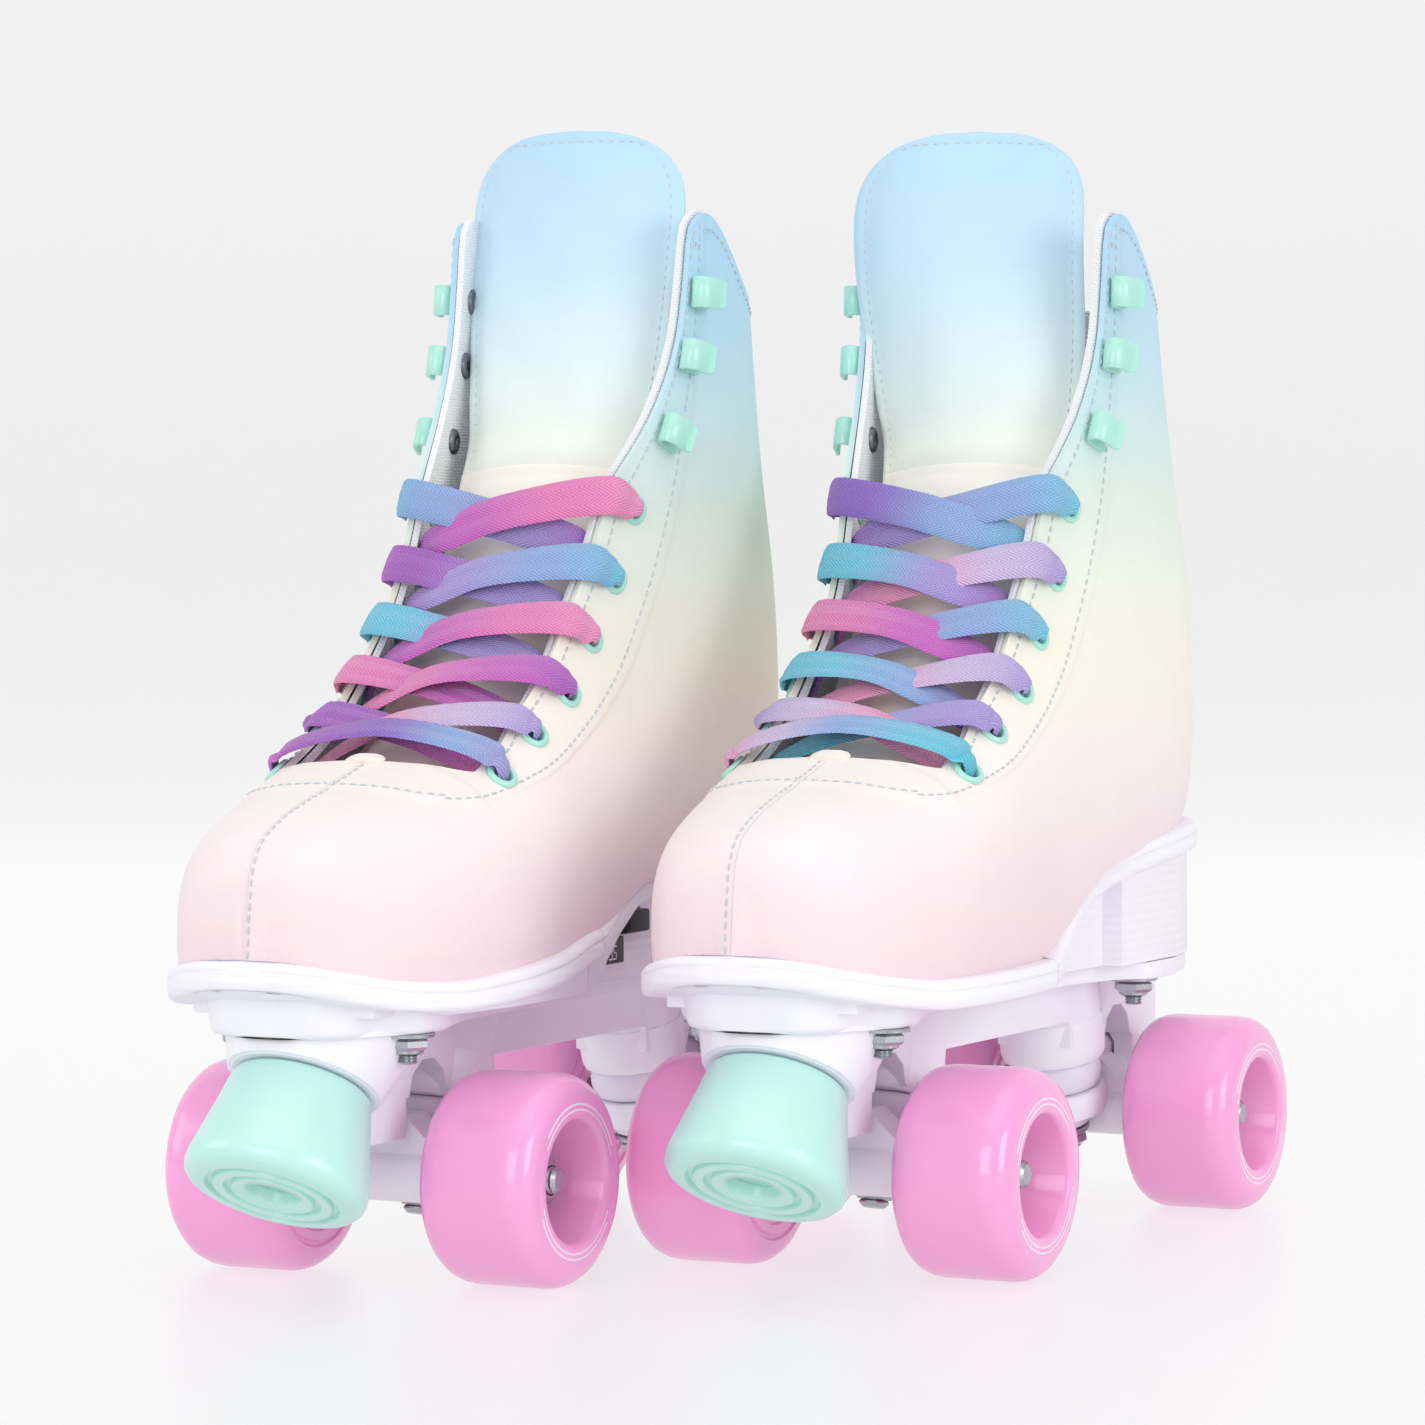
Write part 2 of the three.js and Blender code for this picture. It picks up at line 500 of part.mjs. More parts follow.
function makeHanger() {
    const low = KINGPIN_Z;
    const ring = onKingpin(post(RING_RADIUS, RING_RADIUS, -RING_HEIGHT / 2, RING_HEIGHT / 2, ROUND_SIDES));
    const tube = moved(post(HANGER_TUBE, HANGER_TUBE, -HANGER_HALF, HANGER_HALF, CUSHION_SIDES),
        { turnY: 90, to: [0, axleT, WHEEL_RADIUS] });
    const web = prism("y", symmetric([[HANGER_HALF, WHEEL_RADIUS - 3], [HANGER_HALF, WHEEL_RADIUS + 3],
        [HANGER_TOP_HALF, WHEEL_RADIUS + HANGER_RISE]]), axleT - HANGER_THICK / 2, axleT + HANGER_THICK / 2);
    const arm = box(-9, 9, KINGPIN_T + 6, axleT, low - 3.5, low + 3.5);
    const stem = steerRod(PIVOT_RADIUS, 14, pivotTip);
    const pocketRadius = LOWER_CUSHION_RADIUS + POCKET_CLEARANCE;
    const pocket = onKingpin(post(pocketRadius, pocketRadius, -FAR, RING_HEIGHT / 2 - RING_WEB, CUSHION_SIDES));
    const eye = onKingpin(rod(RING_HOLE, -FAR, RING_HEIGHT / 2 + GAP));
    const belly = cushionBelly + GAP;
    const cushionRoom = onKingpin(post(belly, belly, RING_HEIGHT / 2, bossFace, CUSHION_SIDES));
    const axleBore = moved(rod(AXLE_RADIUS + BORE_CLEARANCE, -FAR, FAR), { turnY: 90, to: [0, axleT, WHEEL_RADIUS] });
    const roomRadius = WASHER_RADIUS + 3;
    const washerRoom = onKingpin(post(roomRadius, roomRadius, -FAR, -RING_HEIGHT / 2, CUSHION_SIDES));
    return cut(join(ring, cut(arm, washerRoom), tube, web, stem), pocket, eye, axleBore, cushionRoom);
}

function makeAxle() {
    const face = TRACK / 2 + WHEEL_WIDTH / 2 - HUB_DEPTH + GAP;
    const tip = face + AXLE_NUT_WIDTH + AXLE_TIP;
    const nut = (from) => post(AXLE_NUT_RADIUS, AXLE_NUT_RADIUS, from, from + AXLE_NUT_WIDTH, HEX_SIDES);
    return moved(join(rod(AXLE_RADIUS, -tip, tip), nut(face), nut(-face - AXLE_NUT_WIDTH)),
        { turnY: 90, to: [0, axleT, WHEEL_RADIUS] });
}

function makeUpperCushion() {
    const low = RING_HEIGHT / 2 + GAP;
    const hole = KINGPIN_RADIUS + BORE_CLEARANCE;
    return onKingpin(turned([[hole, low], [CUSHION_RADIUS, low], [cushionBelly, low + UPPER_CUSHION / 2],
        [CUSHION_RADIUS, low + UPPER_CUSHION], [hole, low + UPPER_CUSHION]], CUSHION_SIDES));
}

function makeLowerCushion() {
    const high = RING_HEIGHT / 2 - RING_WEB - GAP;
    const hole = KINGPIN_RADIUS + BORE_CLEARANCE;
    return onKingpin(turned([[hole, high - LOWER_CUSHION], [LOWER_CUSHION_RADIUS - 1, high - LOWER_CUSHION],
        [LOWER_CUSHION_RADIUS, high - 1], [LOWER_CUSHION_RADIUS - 1, high], [hole, high]], CUSHION_SIDES));
}

function makeKingpin() {
    return onKingpin(rod(KINGPIN_RADIUS, -KINGPIN_FOOT, KINGPIN_TOP));
}

function makeKingpinNut() {
    const seat = RING_HEIGHT / 2 - RING_WEB - LOWER_CUSHION - 2 * GAP;
    const washer = post(WASHER_RADIUS, WASHER_RADIUS, seat - WASHER_THICK, seat, CUSHION_SIDES);
    const low = seat - WASHER_THICK - KINGPIN_NUT_HEIGHT;
    const nut = post(KINGPIN_NUT_RADIUS, KINGPIN_NUT_RADIUS, low, seat - WASHER_THICK / 2, HEX_SIDES);
    const hole = rod(KINGPIN_RADIUS + BORE_CLEARANCE, -FAR, FAR);
    return onKingpin(cut(join(washer, nut), hole));
}

// Wheel about the X axis, its hub mouth towards +X.
function makeWheel() {
    const out = WHEEL_WIDTH / 2;
    const face = WHEEL_RADIUS - WHEEL_SHOULDER;
    const turn = WHEEL_SHOULDER * Math.SQRT1_2;
    const bore = AXLE_RADIUS + BORE_CLEARANCE;
    const profile = [
        [bore, -out + INNER_RECESS], [HUB_FLOOR_RADIUS, -out + INNER_RECESS], [HUB_MOUTH_RADIUS, -out],
        [face + turn, -out + WHEEL_SHOULDER - turn], [WHEEL_RADIUS, -out + WHEEL_SHOULDER],
        [WHEEL_RADIUS, out - WHEEL_SHOULDER], [face + turn, out - WHEEL_SHOULDER + turn], [HUB_MOUTH_RADIUS, out],
        [HUB_FLOOR_RADIUS, out - HUB_DEPTH], [bore, out - HUB_DEPTH],
    ];
    return turned(profile, WHEEL_SIDES).rotate([0, 90, 0]).rotate([180 / WHEEL_SIDES, 0, 0]);
}

// ================= tongue and laces =================

function tongueRing(index) {
    const lean = (z) => BOOT_LEAN * THREE.MathUtils.smoothstep(z, LEAN_FROM_Z, LEAN_TO_Z);
    const points = TONGUE_PATH.map(([y, z]) => vec(lean(z), y, z));
    const path = new THREE.CatmullRomCurve3(points);
    const ahead = vec(1, 0, 0).cross(path.getTangent(index / (points.length - 1))).normalize();
    const ring = [];
    for (const [side, drop] of [[-1, 1], [-0.55, 0.3], [0, 0], [0.55, 0.3], [1, 1]]) {
        const point = points[index].clone().addScaledVector(ahead, -drop * TONGUE_BOW);
        ring.push(point.setX(points[index].x + side * TONGUE_HALF[index]));
    }
    const back = ring.map((p) => p.clone().addScaledVector(ahead, -TONGUE_THICK)).toReversed();
    return [...ring, ...back];
}

function makeTongue(first, last, lift = 0) {
    const rings = [];
    const raised = vec(0, 0, lift);
    for (let index = first; index <= last; index++) rings.push(tongueRing(index).map((p) => p.add(raised)));
    return loft(rings);
}

// The lace's centre line: from one free end, down every second eyelet on each side, over the bottom bar, and up again.
function strand(from, to, side, over) {
    const [s0, a0] = EYELETS[from];
    const [s1, a1] = EYELETS[to];
    const low = THREE.MathUtils.lerp(s0, s1, 0.2);
    const high = THREE.MathUtils.lerp(s0, s1, 0.9);
    const under = offSkin(low, -side * edgeDegrees(low), -WALL - LACE_INSIDE);
    const onto = offSkin(high, side * edgeDegrees(high), LACE_LIFT);
    const ahead = vec(1, 0, 0).cross(lastPoint(s1, a1).sub(lastPoint(s0, a0))).setX(0).normalize();
    const bow = LACE_BOW + (over ? LACE_CROSSING : -LACE_CROSSING);
    const middle = under.clone().lerp(onto, 0.5).addScaledVector(ahead, bow);
    return [
        offSkin(s0, -side * a0, -WALL - LACE_INSIDE), under, middle, onto,
        offSkin(s1, side * a1, LACE_STANDOFF), offSkin(s1, side * a1, -WALL / 2),
    ];
}

class Route extends THREE.CatmullRomCurve3 {
    getUtoTmapping(u) { return u; }
}

function makeLaces() {
    const rows = EYELETS.length;
    const half = (firstSide) => {
        const points = [];
        let side = firstSide;
        for (let row = 1; row < rows; row++) {
            side = -side;
            points.push(...strand(row - 1, row, side, side > 0));
        }
        const [s, a] = EYELETS[rows - 1];
        const inside = -WALL - LACE_INSIDE;
        points.push(offSkin(s, side * a, inside), offSkin(s - 0.5, side * (a + 14), inside));
        return points;
    };
    const [s, a] = EYELETS[0];
    const bar = [-1, 1].map((side) => [
        offSkin(s, side * a, -WALL / 2), offSkin(s, side * a, LACE_STANDOFF), offSkin(s, side * edgeDegrees(s), LACE_LIFT),
    ]);
    const crown = lastPoint(s, 0).addScaledVector(lastNormal(s, 0.01), LACE_LIFT);
    const route = new Route([...half(-1).toReversed(), ...bar[0], crown, ...bar[1].toReversed(), ...half(1)]);
    const ring = new THREE.EllipseCurve(0, 0, LACE_RADIUS, LACE_RADIUS).getPoints(LACE_SIDES).slice(0, -1);
    const section = new THREE.Shape(ring);
    return toSolid(new THREE.ExtrudeGeometry(section, {
        steps: route.points.length - 1, extrudePath: route, bevelEnabled: false,
    }));
}

// ================= materials =================

const finish = (color, roughness, metalness = 0) => new THREE.MeshStandardMaterial({ color, roughness, metalness });
const MATERIALS = {
    leather: finish("#dceee6", 0.55),
    toeLeather: finish("#f6dcdc", 0.55),
    lining: finish("#f2f1ef", 0.9),
    lace: finish("#a98fd0", 0.8),
    sole: finish("#f1eff8", 0.5),
    plate: finish("#e6e2f4", 0.45),
    stop: finish("#aaeadb", 0.3),
    wheel: finish("#ef83c6", 0.3),
    cushion: finish("#ece8f6", 0.6),
    steel: finish("#b9bcc2", 0.3, 1),
    button: finish("#1d1c20", 0.5),
};

// ================= assembly =================

// Mirror image in X, with the triangles turned round so that they still face out.
const mirrored = (solid) => solid.mirror([1, 0, 0]);

const ownSolids = [
    ["upper", makeUpper(), "leather"],
    ["toe_box", makeToeBox(), "toeLeather"],
    ["insole", makeInsole(), "lining"],
    ["toe_sole", makeToeSole(), "sole"],
    ["heel_sole", makeHeelSole(), "sole"],
    ["size_button", makeSizeButton(), "button"],
    ["plate", makePlate(), "plate"],
    ["toe_stop", makeToeStop(), "stop"],
    ["toe_stop_bolt", makeStopBolt(), "steel"],
    ["tongue", makeTongue(0, TONGUE_FOLD), "leather"],
    ["tongue_top", makeTongue(TONGUE_FOLD, TONGUE_PATH.length - 1, GAP), "leather"],
    ["laces", makeLaces(), "lace"],
];
const truckSolids = [
    ["hanger", makeHanger(), "plate"],
    ["axle", makeAxle(), "steel"],
    ["upper_cushion", makeUpperCushion(), "cushion"],
    ["lower_cushion", makeLowerCushion(), "cushion"],
    ["kingpin", makeKingpin(), "steel"],
    ["kingpin_nut", makeKingpinNut(), "steel"],
];
const wheelSolid = makeWheel();

function part(name, solid, material) {
    const mesh = new THREE.Mesh(toGeometry(solid), MATERIALS[material]);
    mesh.name = name;
    return mesh;
}

function makeTruck(prefix, turn, innerSide) {
    const truck = new THREE.Group();
    truck.rotation.z = turn;
    for (const [name, solid, material] of truckSolids) truck.add(part(`${prefix}_${name}`, solid, material));
    for (const [side, turnWheel] of [[1, 0], [-1, Math.PI]]) {
        const inner = side * Math.cos(turn) * innerSide > 0;
        const wheel = part(`${prefix}_${inner ? "inner" : "outer"}_wheel`, wheelSolid, "wheel");
        wheel.position.set(side * TRACK / 2, axleT, WHEEL_RADIUS);
        wheel.rotation.z = turnWheel;
        truck.add(wheel);
    }
    return truck;
}

function makeSkate(prefix, isLeft) {
    const skate = new THREE.Group();
    for (const [name, solid, material] of ownSolids) {
        skate.add(part(`${prefix}_${name}`, isLeft ? mirrored(solid) : solid, material));
    }
    const innerSide = isLeft ? -1 : 1;
    skate.add(makeTruck(`${prefix}_rear`, 0, innerSide), makeTruck(`${prefix}_front`, Math.PI, innerSide));
    return skate;
}

const pair = new THREE.Group();
const rightSkate = makeSkate("right", false);
rightSkate.position.set(-PAIR_SPACING / 2, -PAIR_STAGGER / 2, 0);
const leftSkate = makeSkate("left", true);
leftSkate.position.set(PAIR_SPACING / 2, PAIR_STAGGER / 2, 0);
pair.add(rightSkate, leftSkate);

// The origin lies under the middle of the pair's box.
const extent = new THREE.Box3().setFromObject(pair, true);
pair.position.y = -(extent.min.y + extent.max.y) / 2;

export default pair;
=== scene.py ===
import math

import bmesh
import bpy
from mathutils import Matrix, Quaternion, Vector
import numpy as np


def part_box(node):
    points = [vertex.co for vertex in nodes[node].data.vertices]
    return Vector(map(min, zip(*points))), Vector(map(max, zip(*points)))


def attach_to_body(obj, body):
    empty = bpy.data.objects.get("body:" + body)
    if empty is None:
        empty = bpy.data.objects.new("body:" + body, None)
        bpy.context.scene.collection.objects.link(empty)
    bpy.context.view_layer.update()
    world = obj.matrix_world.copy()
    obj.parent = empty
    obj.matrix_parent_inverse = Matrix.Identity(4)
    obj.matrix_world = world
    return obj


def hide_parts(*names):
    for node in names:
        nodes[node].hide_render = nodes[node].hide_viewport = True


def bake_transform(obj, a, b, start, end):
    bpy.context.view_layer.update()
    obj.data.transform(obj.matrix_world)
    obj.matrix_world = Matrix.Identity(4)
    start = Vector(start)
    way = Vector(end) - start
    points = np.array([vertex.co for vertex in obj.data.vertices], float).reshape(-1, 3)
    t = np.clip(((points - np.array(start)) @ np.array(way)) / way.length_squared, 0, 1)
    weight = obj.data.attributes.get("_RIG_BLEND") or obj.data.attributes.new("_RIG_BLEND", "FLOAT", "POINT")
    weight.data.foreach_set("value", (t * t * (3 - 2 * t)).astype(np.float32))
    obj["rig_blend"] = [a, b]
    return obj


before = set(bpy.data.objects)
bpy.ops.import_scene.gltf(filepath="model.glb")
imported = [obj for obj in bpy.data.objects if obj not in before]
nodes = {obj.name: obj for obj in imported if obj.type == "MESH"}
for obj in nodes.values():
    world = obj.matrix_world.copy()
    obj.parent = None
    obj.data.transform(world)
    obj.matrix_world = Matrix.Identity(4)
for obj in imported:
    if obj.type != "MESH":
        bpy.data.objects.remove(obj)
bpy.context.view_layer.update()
print("frame loaded,", len(nodes), "nodes")

# Each skate is drawn in millimetres as the right one, inner side towards +X, toe towards -Y.
# The left skate is its mirror image, standing where its own axles are.


def middleOf(node):
    low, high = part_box(node)
    return (low + high) / 2


skates = {}
for side, hand in (("right", 1), ("left", -1)):
    spot = (middleOf(side + "_front_axle") + middleOf(side + "_rear_axle")) / 2
    skates[side] = {"hand": hand, "x": spot.x, "y": spot.y}


def toWorld(side, point):
    skate = skates[side]
    return Vector((skate["x"] + skate["hand"] * point[0] / 1000, skate["y"] + point[1] / 1000,
                   point[2] / 1000))


def onSkate(side, point):
    skate = skates[side]
    x, y, z = point
    return Vector(((x - skate["x"]) * 1000 * skate["hand"], (y - skate["y"]) * 1000, z * 1000))


# The camera stands low, ahead of the pair and on the left skate's outer side: its place in metres,
# its heading over the floor, how many degrees it looks down and rolls, and its lens in mm.
view = {"at": (0.5801, -1.1387, 0.1792), "along": (-0.4546, 0.8907), "pitch": 1.6825, "roll": 0.288,
        "lens": 122.2}

cameraData = bpy.data.cameras.new("camera")
cameraData.lens = view["lens"]
cameraData.sensor_width = 36
camera = bpy.data.objects.new("camera", cameraData)
bpy.context.scene.collection.objects.link(camera)
flat = Vector((view["along"][0], view["along"][1], 0)).normalized()
sight = Quaternion(flat.cross(Vector((0, 0, 1))), -math.radians(view["pitch"])) @ flat
roll = Quaternion(sight, math.radians(view["roll"]))
camera.rotation_mode = "QUATERNION"
camera.rotation_quaternion = roll @ sight.to_track_quat("-Z", "Y")
camera.location = view["at"]
bpy.context.scene.camera = camera


# Goes smoothly from 0 at low to 1 at high.
def blendStep(low, high, value):
    t = min(max((value - low) / (high - low), 0), 1)
    return t * t * (3 - 2 * t)


def mix(a, b, share):
    return a + (b - a) * share


# Height of a line of (place, height) corners.
def linearAt(pairs, position):
    if position <= pairs[0][0]:
        return pairs[0][1]
    for (x0, y0), (x1, y1) in zip(pairs, pairs[1:]):
        if position <= x1:
            return mix(y0, y1, (position - x0) / (x1 - x0))
    return pairs[-1][1]


# Smooth curve through points whose spacing differs, counted by point number.
def curveAt(points, position):
    count = len(points)
    index = min(max(math.floor(position), 0), count - 2)
    w = position - index
    p1, p2 = points[index], points[index + 1]
    p0 = points[index - 1] if index > 0 else 2 * points[0] - points[1]
    p3 = points[index + 2] if index + 2 < count else 2 * points[-1] - points[-2]
    d0, d1, d2 = ((b - a).length ** 0.5 for a, b in ((p0, p1), (p1, p2), (p2, p3)))
    d1 = d1 if d1 > 1e-4 else 1
    d0 = d0 if d0 > 1e-4 else d1
    d2 = d2 if d2 > 1e-4 else d1
    t1 = ((p1 - p0) / d0 - (p2 - p0) / (d0 + d1) + (p2 - p1) / d1) * d1
    t2 = ((p2 - p1) / d1 - (p3 - p1) / (d1 + d2) + (p3 - p2) / d2) * d1
    return p1 + t1 * w + (-3 * p1 + 3 * p2 - 2 * t1 - t2) * w**2 + (2 * p1 - 2 * p2 + t1 + t2) * w**3


def makePiece(name, side, points, faces, material, sharp=35):
    mesh = bpy.data.meshes.new(name)
    mesh.from_pydata([toWorld(side, p) for p in points], [], faces)
    work = bmesh.new()
    work.from_mesh(mesh)
    bmesh.ops.recalc_face_normals(work, faces=work.faces)
    work.to_mesh(mesh)
    work.free()
    mesh.materials.append(material)
    mesh.shade_smooth()
    mesh.set_sharp_from_angle(angle=math.radians(sharp))
    piece = bpy.data.objects.new(name, mesh)
    bpy.context.scene.collection.objects.link(piece)
    return piece


# Puts a piece's modifiers into its mesh.
def settle(piece, sharp=35):
    graph = bpy.context.evaluated_depsgraph_get()
    made = bpy.data.meshes.new_from_object(piece.evaluated_get(graph))
    piece.modifiers.clear()
    piece.data = made
    made.shade_smooth()
    made.set_sharp_from_angle(angle=math.radians(sharp))


def modify(piece, kind, **settings):
    modifier = piece.modifiers.new(kind.lower(), kind)
    for key, value in settings.items():
        setattr(modifier, key, value)


# Each point's place on the drawn skate, for colours that run along it.
def markPlaces(piece, side):
    places = piece.data.attributes.new("place", "FLOAT_VECTOR", "POINT")
    for vertex, mark in zip(piece.data.vertices, places.data):
        mark.vector = onSkate(side, vertex.co)


def standFor(side, replaces):
    if replaces:
        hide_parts(*(side + "_" + node for node in replaces))


def attach(piece, side, body, replaces=()):
    markPlaces(piece, side)
    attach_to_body(piece, side + "_" + body)
    standFor(side, replaces)


# Between these two places along the boot the upper follows the toe as the size is set.
reach = {"from": -88, "to": -127}


def attachStretching(piece, side, replaces=()):
    markPlaces(piece, side)
    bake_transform(piece, side + "_skate", side + "_toe",
             start=toWorld(side, (0, reach["from"], 0)), end=toWorld(side, (0, reach["to"], 0)))
    standFor(side, replaces)


# Rings of points joined in turn; the ends are capped, left open or joined to each other.
def bridge(rings, caps=True, closeRows=False):
    points = [p for ring in rings for p in ring]
    width = len(rings[0])
    faces = []
    for r in range(len(rings) if closeRows else len(rings) - 1):
        low, high = r * width, ((r + 1) % len(rings)) * width
        for c in range(width):
            d = (c + 1) % width
            faces.append((low + c, low + d, high + d, high + c))
    if caps and not closeRows:
        faces += [tuple(range(width)), tuple(range((len(rings) - 1) * width, len(rings) * width))]
    return points, faces


# Body turned from (radius, height) pairs; place takes (x, y, z) with z along the axis.
def turned(profile, sides, place, closed=True):
    rings = []
    for radius, height in profile:
        radius = max(radius, 0.001)
        ring = [place(Vector((radius * math.cos(a), radius * math.sin(a), height)))
                for a in (2 * math.pi * i / sides for i in range(sides))]
        rings.append(ring)
    return bridge(rings, closeRows=closed)


def joinParts(parts):
    points, faces = [], []
    for p, f in parts:
        offset = len(points)
        points.extend(p)
        faces.extend(tuple(i + offset for i in face) for face in f)
    return points, faces


# Frame with its z along an axis, as a function from its own coordinates to the skate's.
def onAxis(origin, axis, ahead=(0, 0, 1)):
    z = Vector(axis).normalized()
    x = Vector(ahead).cross(z)
    x = x.normalized() if x.length > 1e-6 else Vector((1, 0, 0))
    y = z.cross(x)
    start = Vector(origin)
    return lambda p: start + x * p[0] + y * p[1] + z * p[2]


# The linear value of an sRGB hex code.
def colour(code):
    parts = [int(code[i:i + 2], 16) / 255 for i in (1, 3, 5)]
    return (*(c / 12.92 if c <= 0.04045 else ((c + 0.055) / 1.055) ** 2.4 for c in parts), 1)


# Adds a node by its kind; settings are its own values, links go from (node, output) to its sockets.
def add(tree, kind, settings=None, values=None, links=None):
    node = tree.nodes.new("ShaderNode" + kind)
    for key, value in (settings or {}).items():
        setattr(node, key, value)
    for key, value in (values or {}).items():
        node.inputs[key].default_value = value
    for key, (source, output) in (links or {}).items():
        tree.links.new(source.outputs[output], node.inputs[key])
    return node


# Shader values are named as its sockets are, with _ for a space.
def newMaterial(name, **shaderValues):
    material = bpy.data.materials.new(name)
    material.use_nodes = True
    tree = material.node_tree
    shader = tree.nodes["Principled BSDF"]
    for key, value in shaderValues.items():
        shader.inputs[key.replace("_", " ")].default_value = value
    return material, tree, shader


# Coordinates in millimetres, so that pattern scales are 1 / size.
def millimetres(tree):
    spot = add(tree, "TexCoord")
    return add(tree, "VectorMath", {"operation": "SCALE"}, {"Scale": 1000}, {0: (spot, "Object")})


# Colours along a measure, from (measure, code) stops between low and high.
def ramp(tree, source, stops, low, high):
    span = add(tree, "MapRange", {}, {"From Min": low, "From Max": high}, {"Value": source})
    node = add(tree, "ValToRGB", {}, {}, {"Fac": (span, 0)})
    elements = node.color_ramp.elements
    while len(elements) < len(stops):
        elements.new(0.5)
    for element, (height, code) in zip(elements, stops):
        element.position = (height - low) / (high - low)
        element.color = colour(code)
    return node


# Polyurethane leather, dyed in a pastel fade and embossed with a fine grain: soft sheen, tiny pebbles.
def makeLeather(name, axisStops, low, high, seams=True):
    grain = {"pebble": 0.9, "crease": 7, "blotch": 24}  # mm; pebbles are twice real size, to show
    material, tree, shader = newMaterial(name, Roughness=0.5, Specular_IOR_Level=0.4, Sheen_Weight=0.12,
                                         Sheen_Roughness=0.6)
    spot = millimetres(tree)
    place = add(tree, "Attribute", {"attribute_name": "place"})
    split = add(tree, "SeparateXYZ", {}, {}, {0: (place, "Vector")})
    drift = add(tree, "TexNoise", {}, {"Scale": 1 / 60, "Detail": 2}, {"Vector": (spot, 0)})
    sway = add(tree, "MapRange", {}, {"To Min": -6, "To Max": 6}, {"Value": (drift, "Fac")})
    height = add(tree, "Math", {"operation": "ADD"}, {}, {0: (split, "Z"), 1: (sway, 0)})
    dye = ramp(tree, (height, 0), axisStops, low, high)
    blotch = add(tree, "TexNoise", {}, {"Scale": 1 / grain["blotch"], "Detail": 4}, {"Vector": (spot, 0)})
    tone = add(tree, "MapRange", {}, {"To Min": 0.965, "To Max": 1.03}, {"Value": (blotch, "Fac")})
    dyed = add(tree, "VectorMath", {"operation": "SCALE"}, {}, {0: (dye, "Color"), "Scale": (tone, 0)})
    tree.links.new(dyed.outputs[0], shader.inputs["Base Color"])
    pebbles = add(tree, "TexVoronoi", {"feature": "SMOOTH_F1"},
                  {"Scale": 1 / grain["pebble"], "Smoothness": 0.6}, {"Vector": (spot, 0)})
    creases = add(tree, "TexNoise", {}, {"Scale": 1 / grain["crease"], "Detail": 5, "Distortion": 0.4},
                  {"Vector": (spot, 0)})
    polish = add(tree, "MapRange", {}, {"To Min": 0.42, "To Max": 0.6}, {"Value": (creases, "Fac")})
    tree.links.new(polish.outputs[0], shader.inputs["Roughness"])
    first = add(tree, "Bump", {}, {"Strength": 0.35, "Distance": 0.00012},
                {"Height": (pebbles, "Distance")})
    second = add(tree, "Bump", {}, {"Strength": 0.5, "Distance": 0.0005},
                 {"Height": (creases, "Fac"), "Normal": (first, 0)})
    relief = second
    if seams:  # the eyestay's cut edge and the toe seam, from each point's distance to them
        seam = add(tree, "Attribute", {"attribute_name": "seam"})
        edge = add(tree, "MapRange", {"interpolation_type": "SMOOTHSTEP"},
                   {"From Min": -0.5, "From Max": 0.5}, {"Value": (seam, "Fac")})
        relief = add(tree, "Bump", {}, {"Strength": 0.5, "Distance": 0.0003},
                     {"Height": (edge, 0), "Normal": (second, 0)})
        toe = add(tree, "Attribute", {"attribute_name": "toeSeam"})
        groove = add(tree, "MapRange", {"interpolation_type": "SMOOTHSTEP"},
                     {"From Min": 0.05, "From Max": 0.7}, {"Value": (toe, "Fac")})
        relief = add(tree, "Bump", {}, {"Strength": 0.6, "Distance": 0.0005},
                     {"Height": (groove, 0), "Normal": (relief, 0)})
    tree.links.new(relief.outputs[0], shader.inputs["Normal"])
    return material


# Height in mm and colour of each leather's fade.
fade = {
    "boot": [(84, "#f2dce1"), (100, "#f3e2e6"), (118, "#f5eaeb"), (134, "#f8efe8"), (152, "#f8f2e4"),
             (174, "#eff2e4"), (198, "#dcece2"), (220, "#cde7e9"), (243, "#bbdfef"), (280, "#acd4f0")],
    "tongue": [(190, "#f6f3e8"), (208, "#f1f4e9"), (222, "#e4f1ec"), (240, "#d6eaf0"), (262, "#c3e1f1"),
               (300, "#b5d9f1")],
    "tongueFoot": [(110, "#f8ece6"), (150, "#f8f2e8"), (215, "#f6f3e8")],
}
# Sprayed from pink at the sole through cream to sky blue at the collar.
bootLeather = makeLeather("pastel_pu_leather", fade["boot"], 80, 290)
# The same leather, blue to cream over the tongue's top.
tongueLeather = makeLeather("sky_pu_leather", fade["tongue"], 185, 305, seams=False)
# Undyed at the tongue's foot: warm white.
creamLeather = makeLeather("cream_pu_leather", fade["tongueFoot"], 100, 220, seams=False)

wavePeriod = 0.314  # of a wave texture whose scale is 1


# Woven polyester: small cross threads and a matt, slightly fuzzy face.
def makeWoven(name, code, shade, pitch, fuzz=0.35, rough=0.92):
    material, tree, shader = newMaterial(name, Roughness=rough, Sheen_Weight=fuzz, Sheen_Roughness=0.5,
                                         Specular_IOR_Level=0.25)
    spot = millimetres(tree)
    warp = add(tree, "TexWave", {"bands_direction": "DIAGONAL"},
               {"Scale": wavePeriod / pitch, "Distortion": 0.6, "Detail Scale": 0.5}, {"Vector": (spot, 0)})
    weft = add(tree, "TexWave", {"bands_direction": "Z"},
               {"Scale": wavePeriod / pitch, "Distortion": 0.8, "Detail Scale": 0.5}, {"Vector": (spot, 0)})
    cross = add(tree, "Math", {"operation": "MULTIPLY"}, {}, {0: (warp, "Fac"), 1: (weft, "Fac")})
    tint = add(tree, "Mix", {"data_type": "RGBA"}, {"A": colour(shade), "B": colour(code)},
               {"Factor": (cross, 0)})
    tree.links.new(tint.outputs["Result"], shader.inputs["Base Color"])
    bump = add(tree, "Bump", {}, {"Strength": 0.6, "Distance": 0.0003}, {"Height": (cross, 0)})
    tree.links.new(bump.outputs[0], shader.inputs["Normal"])
    return material


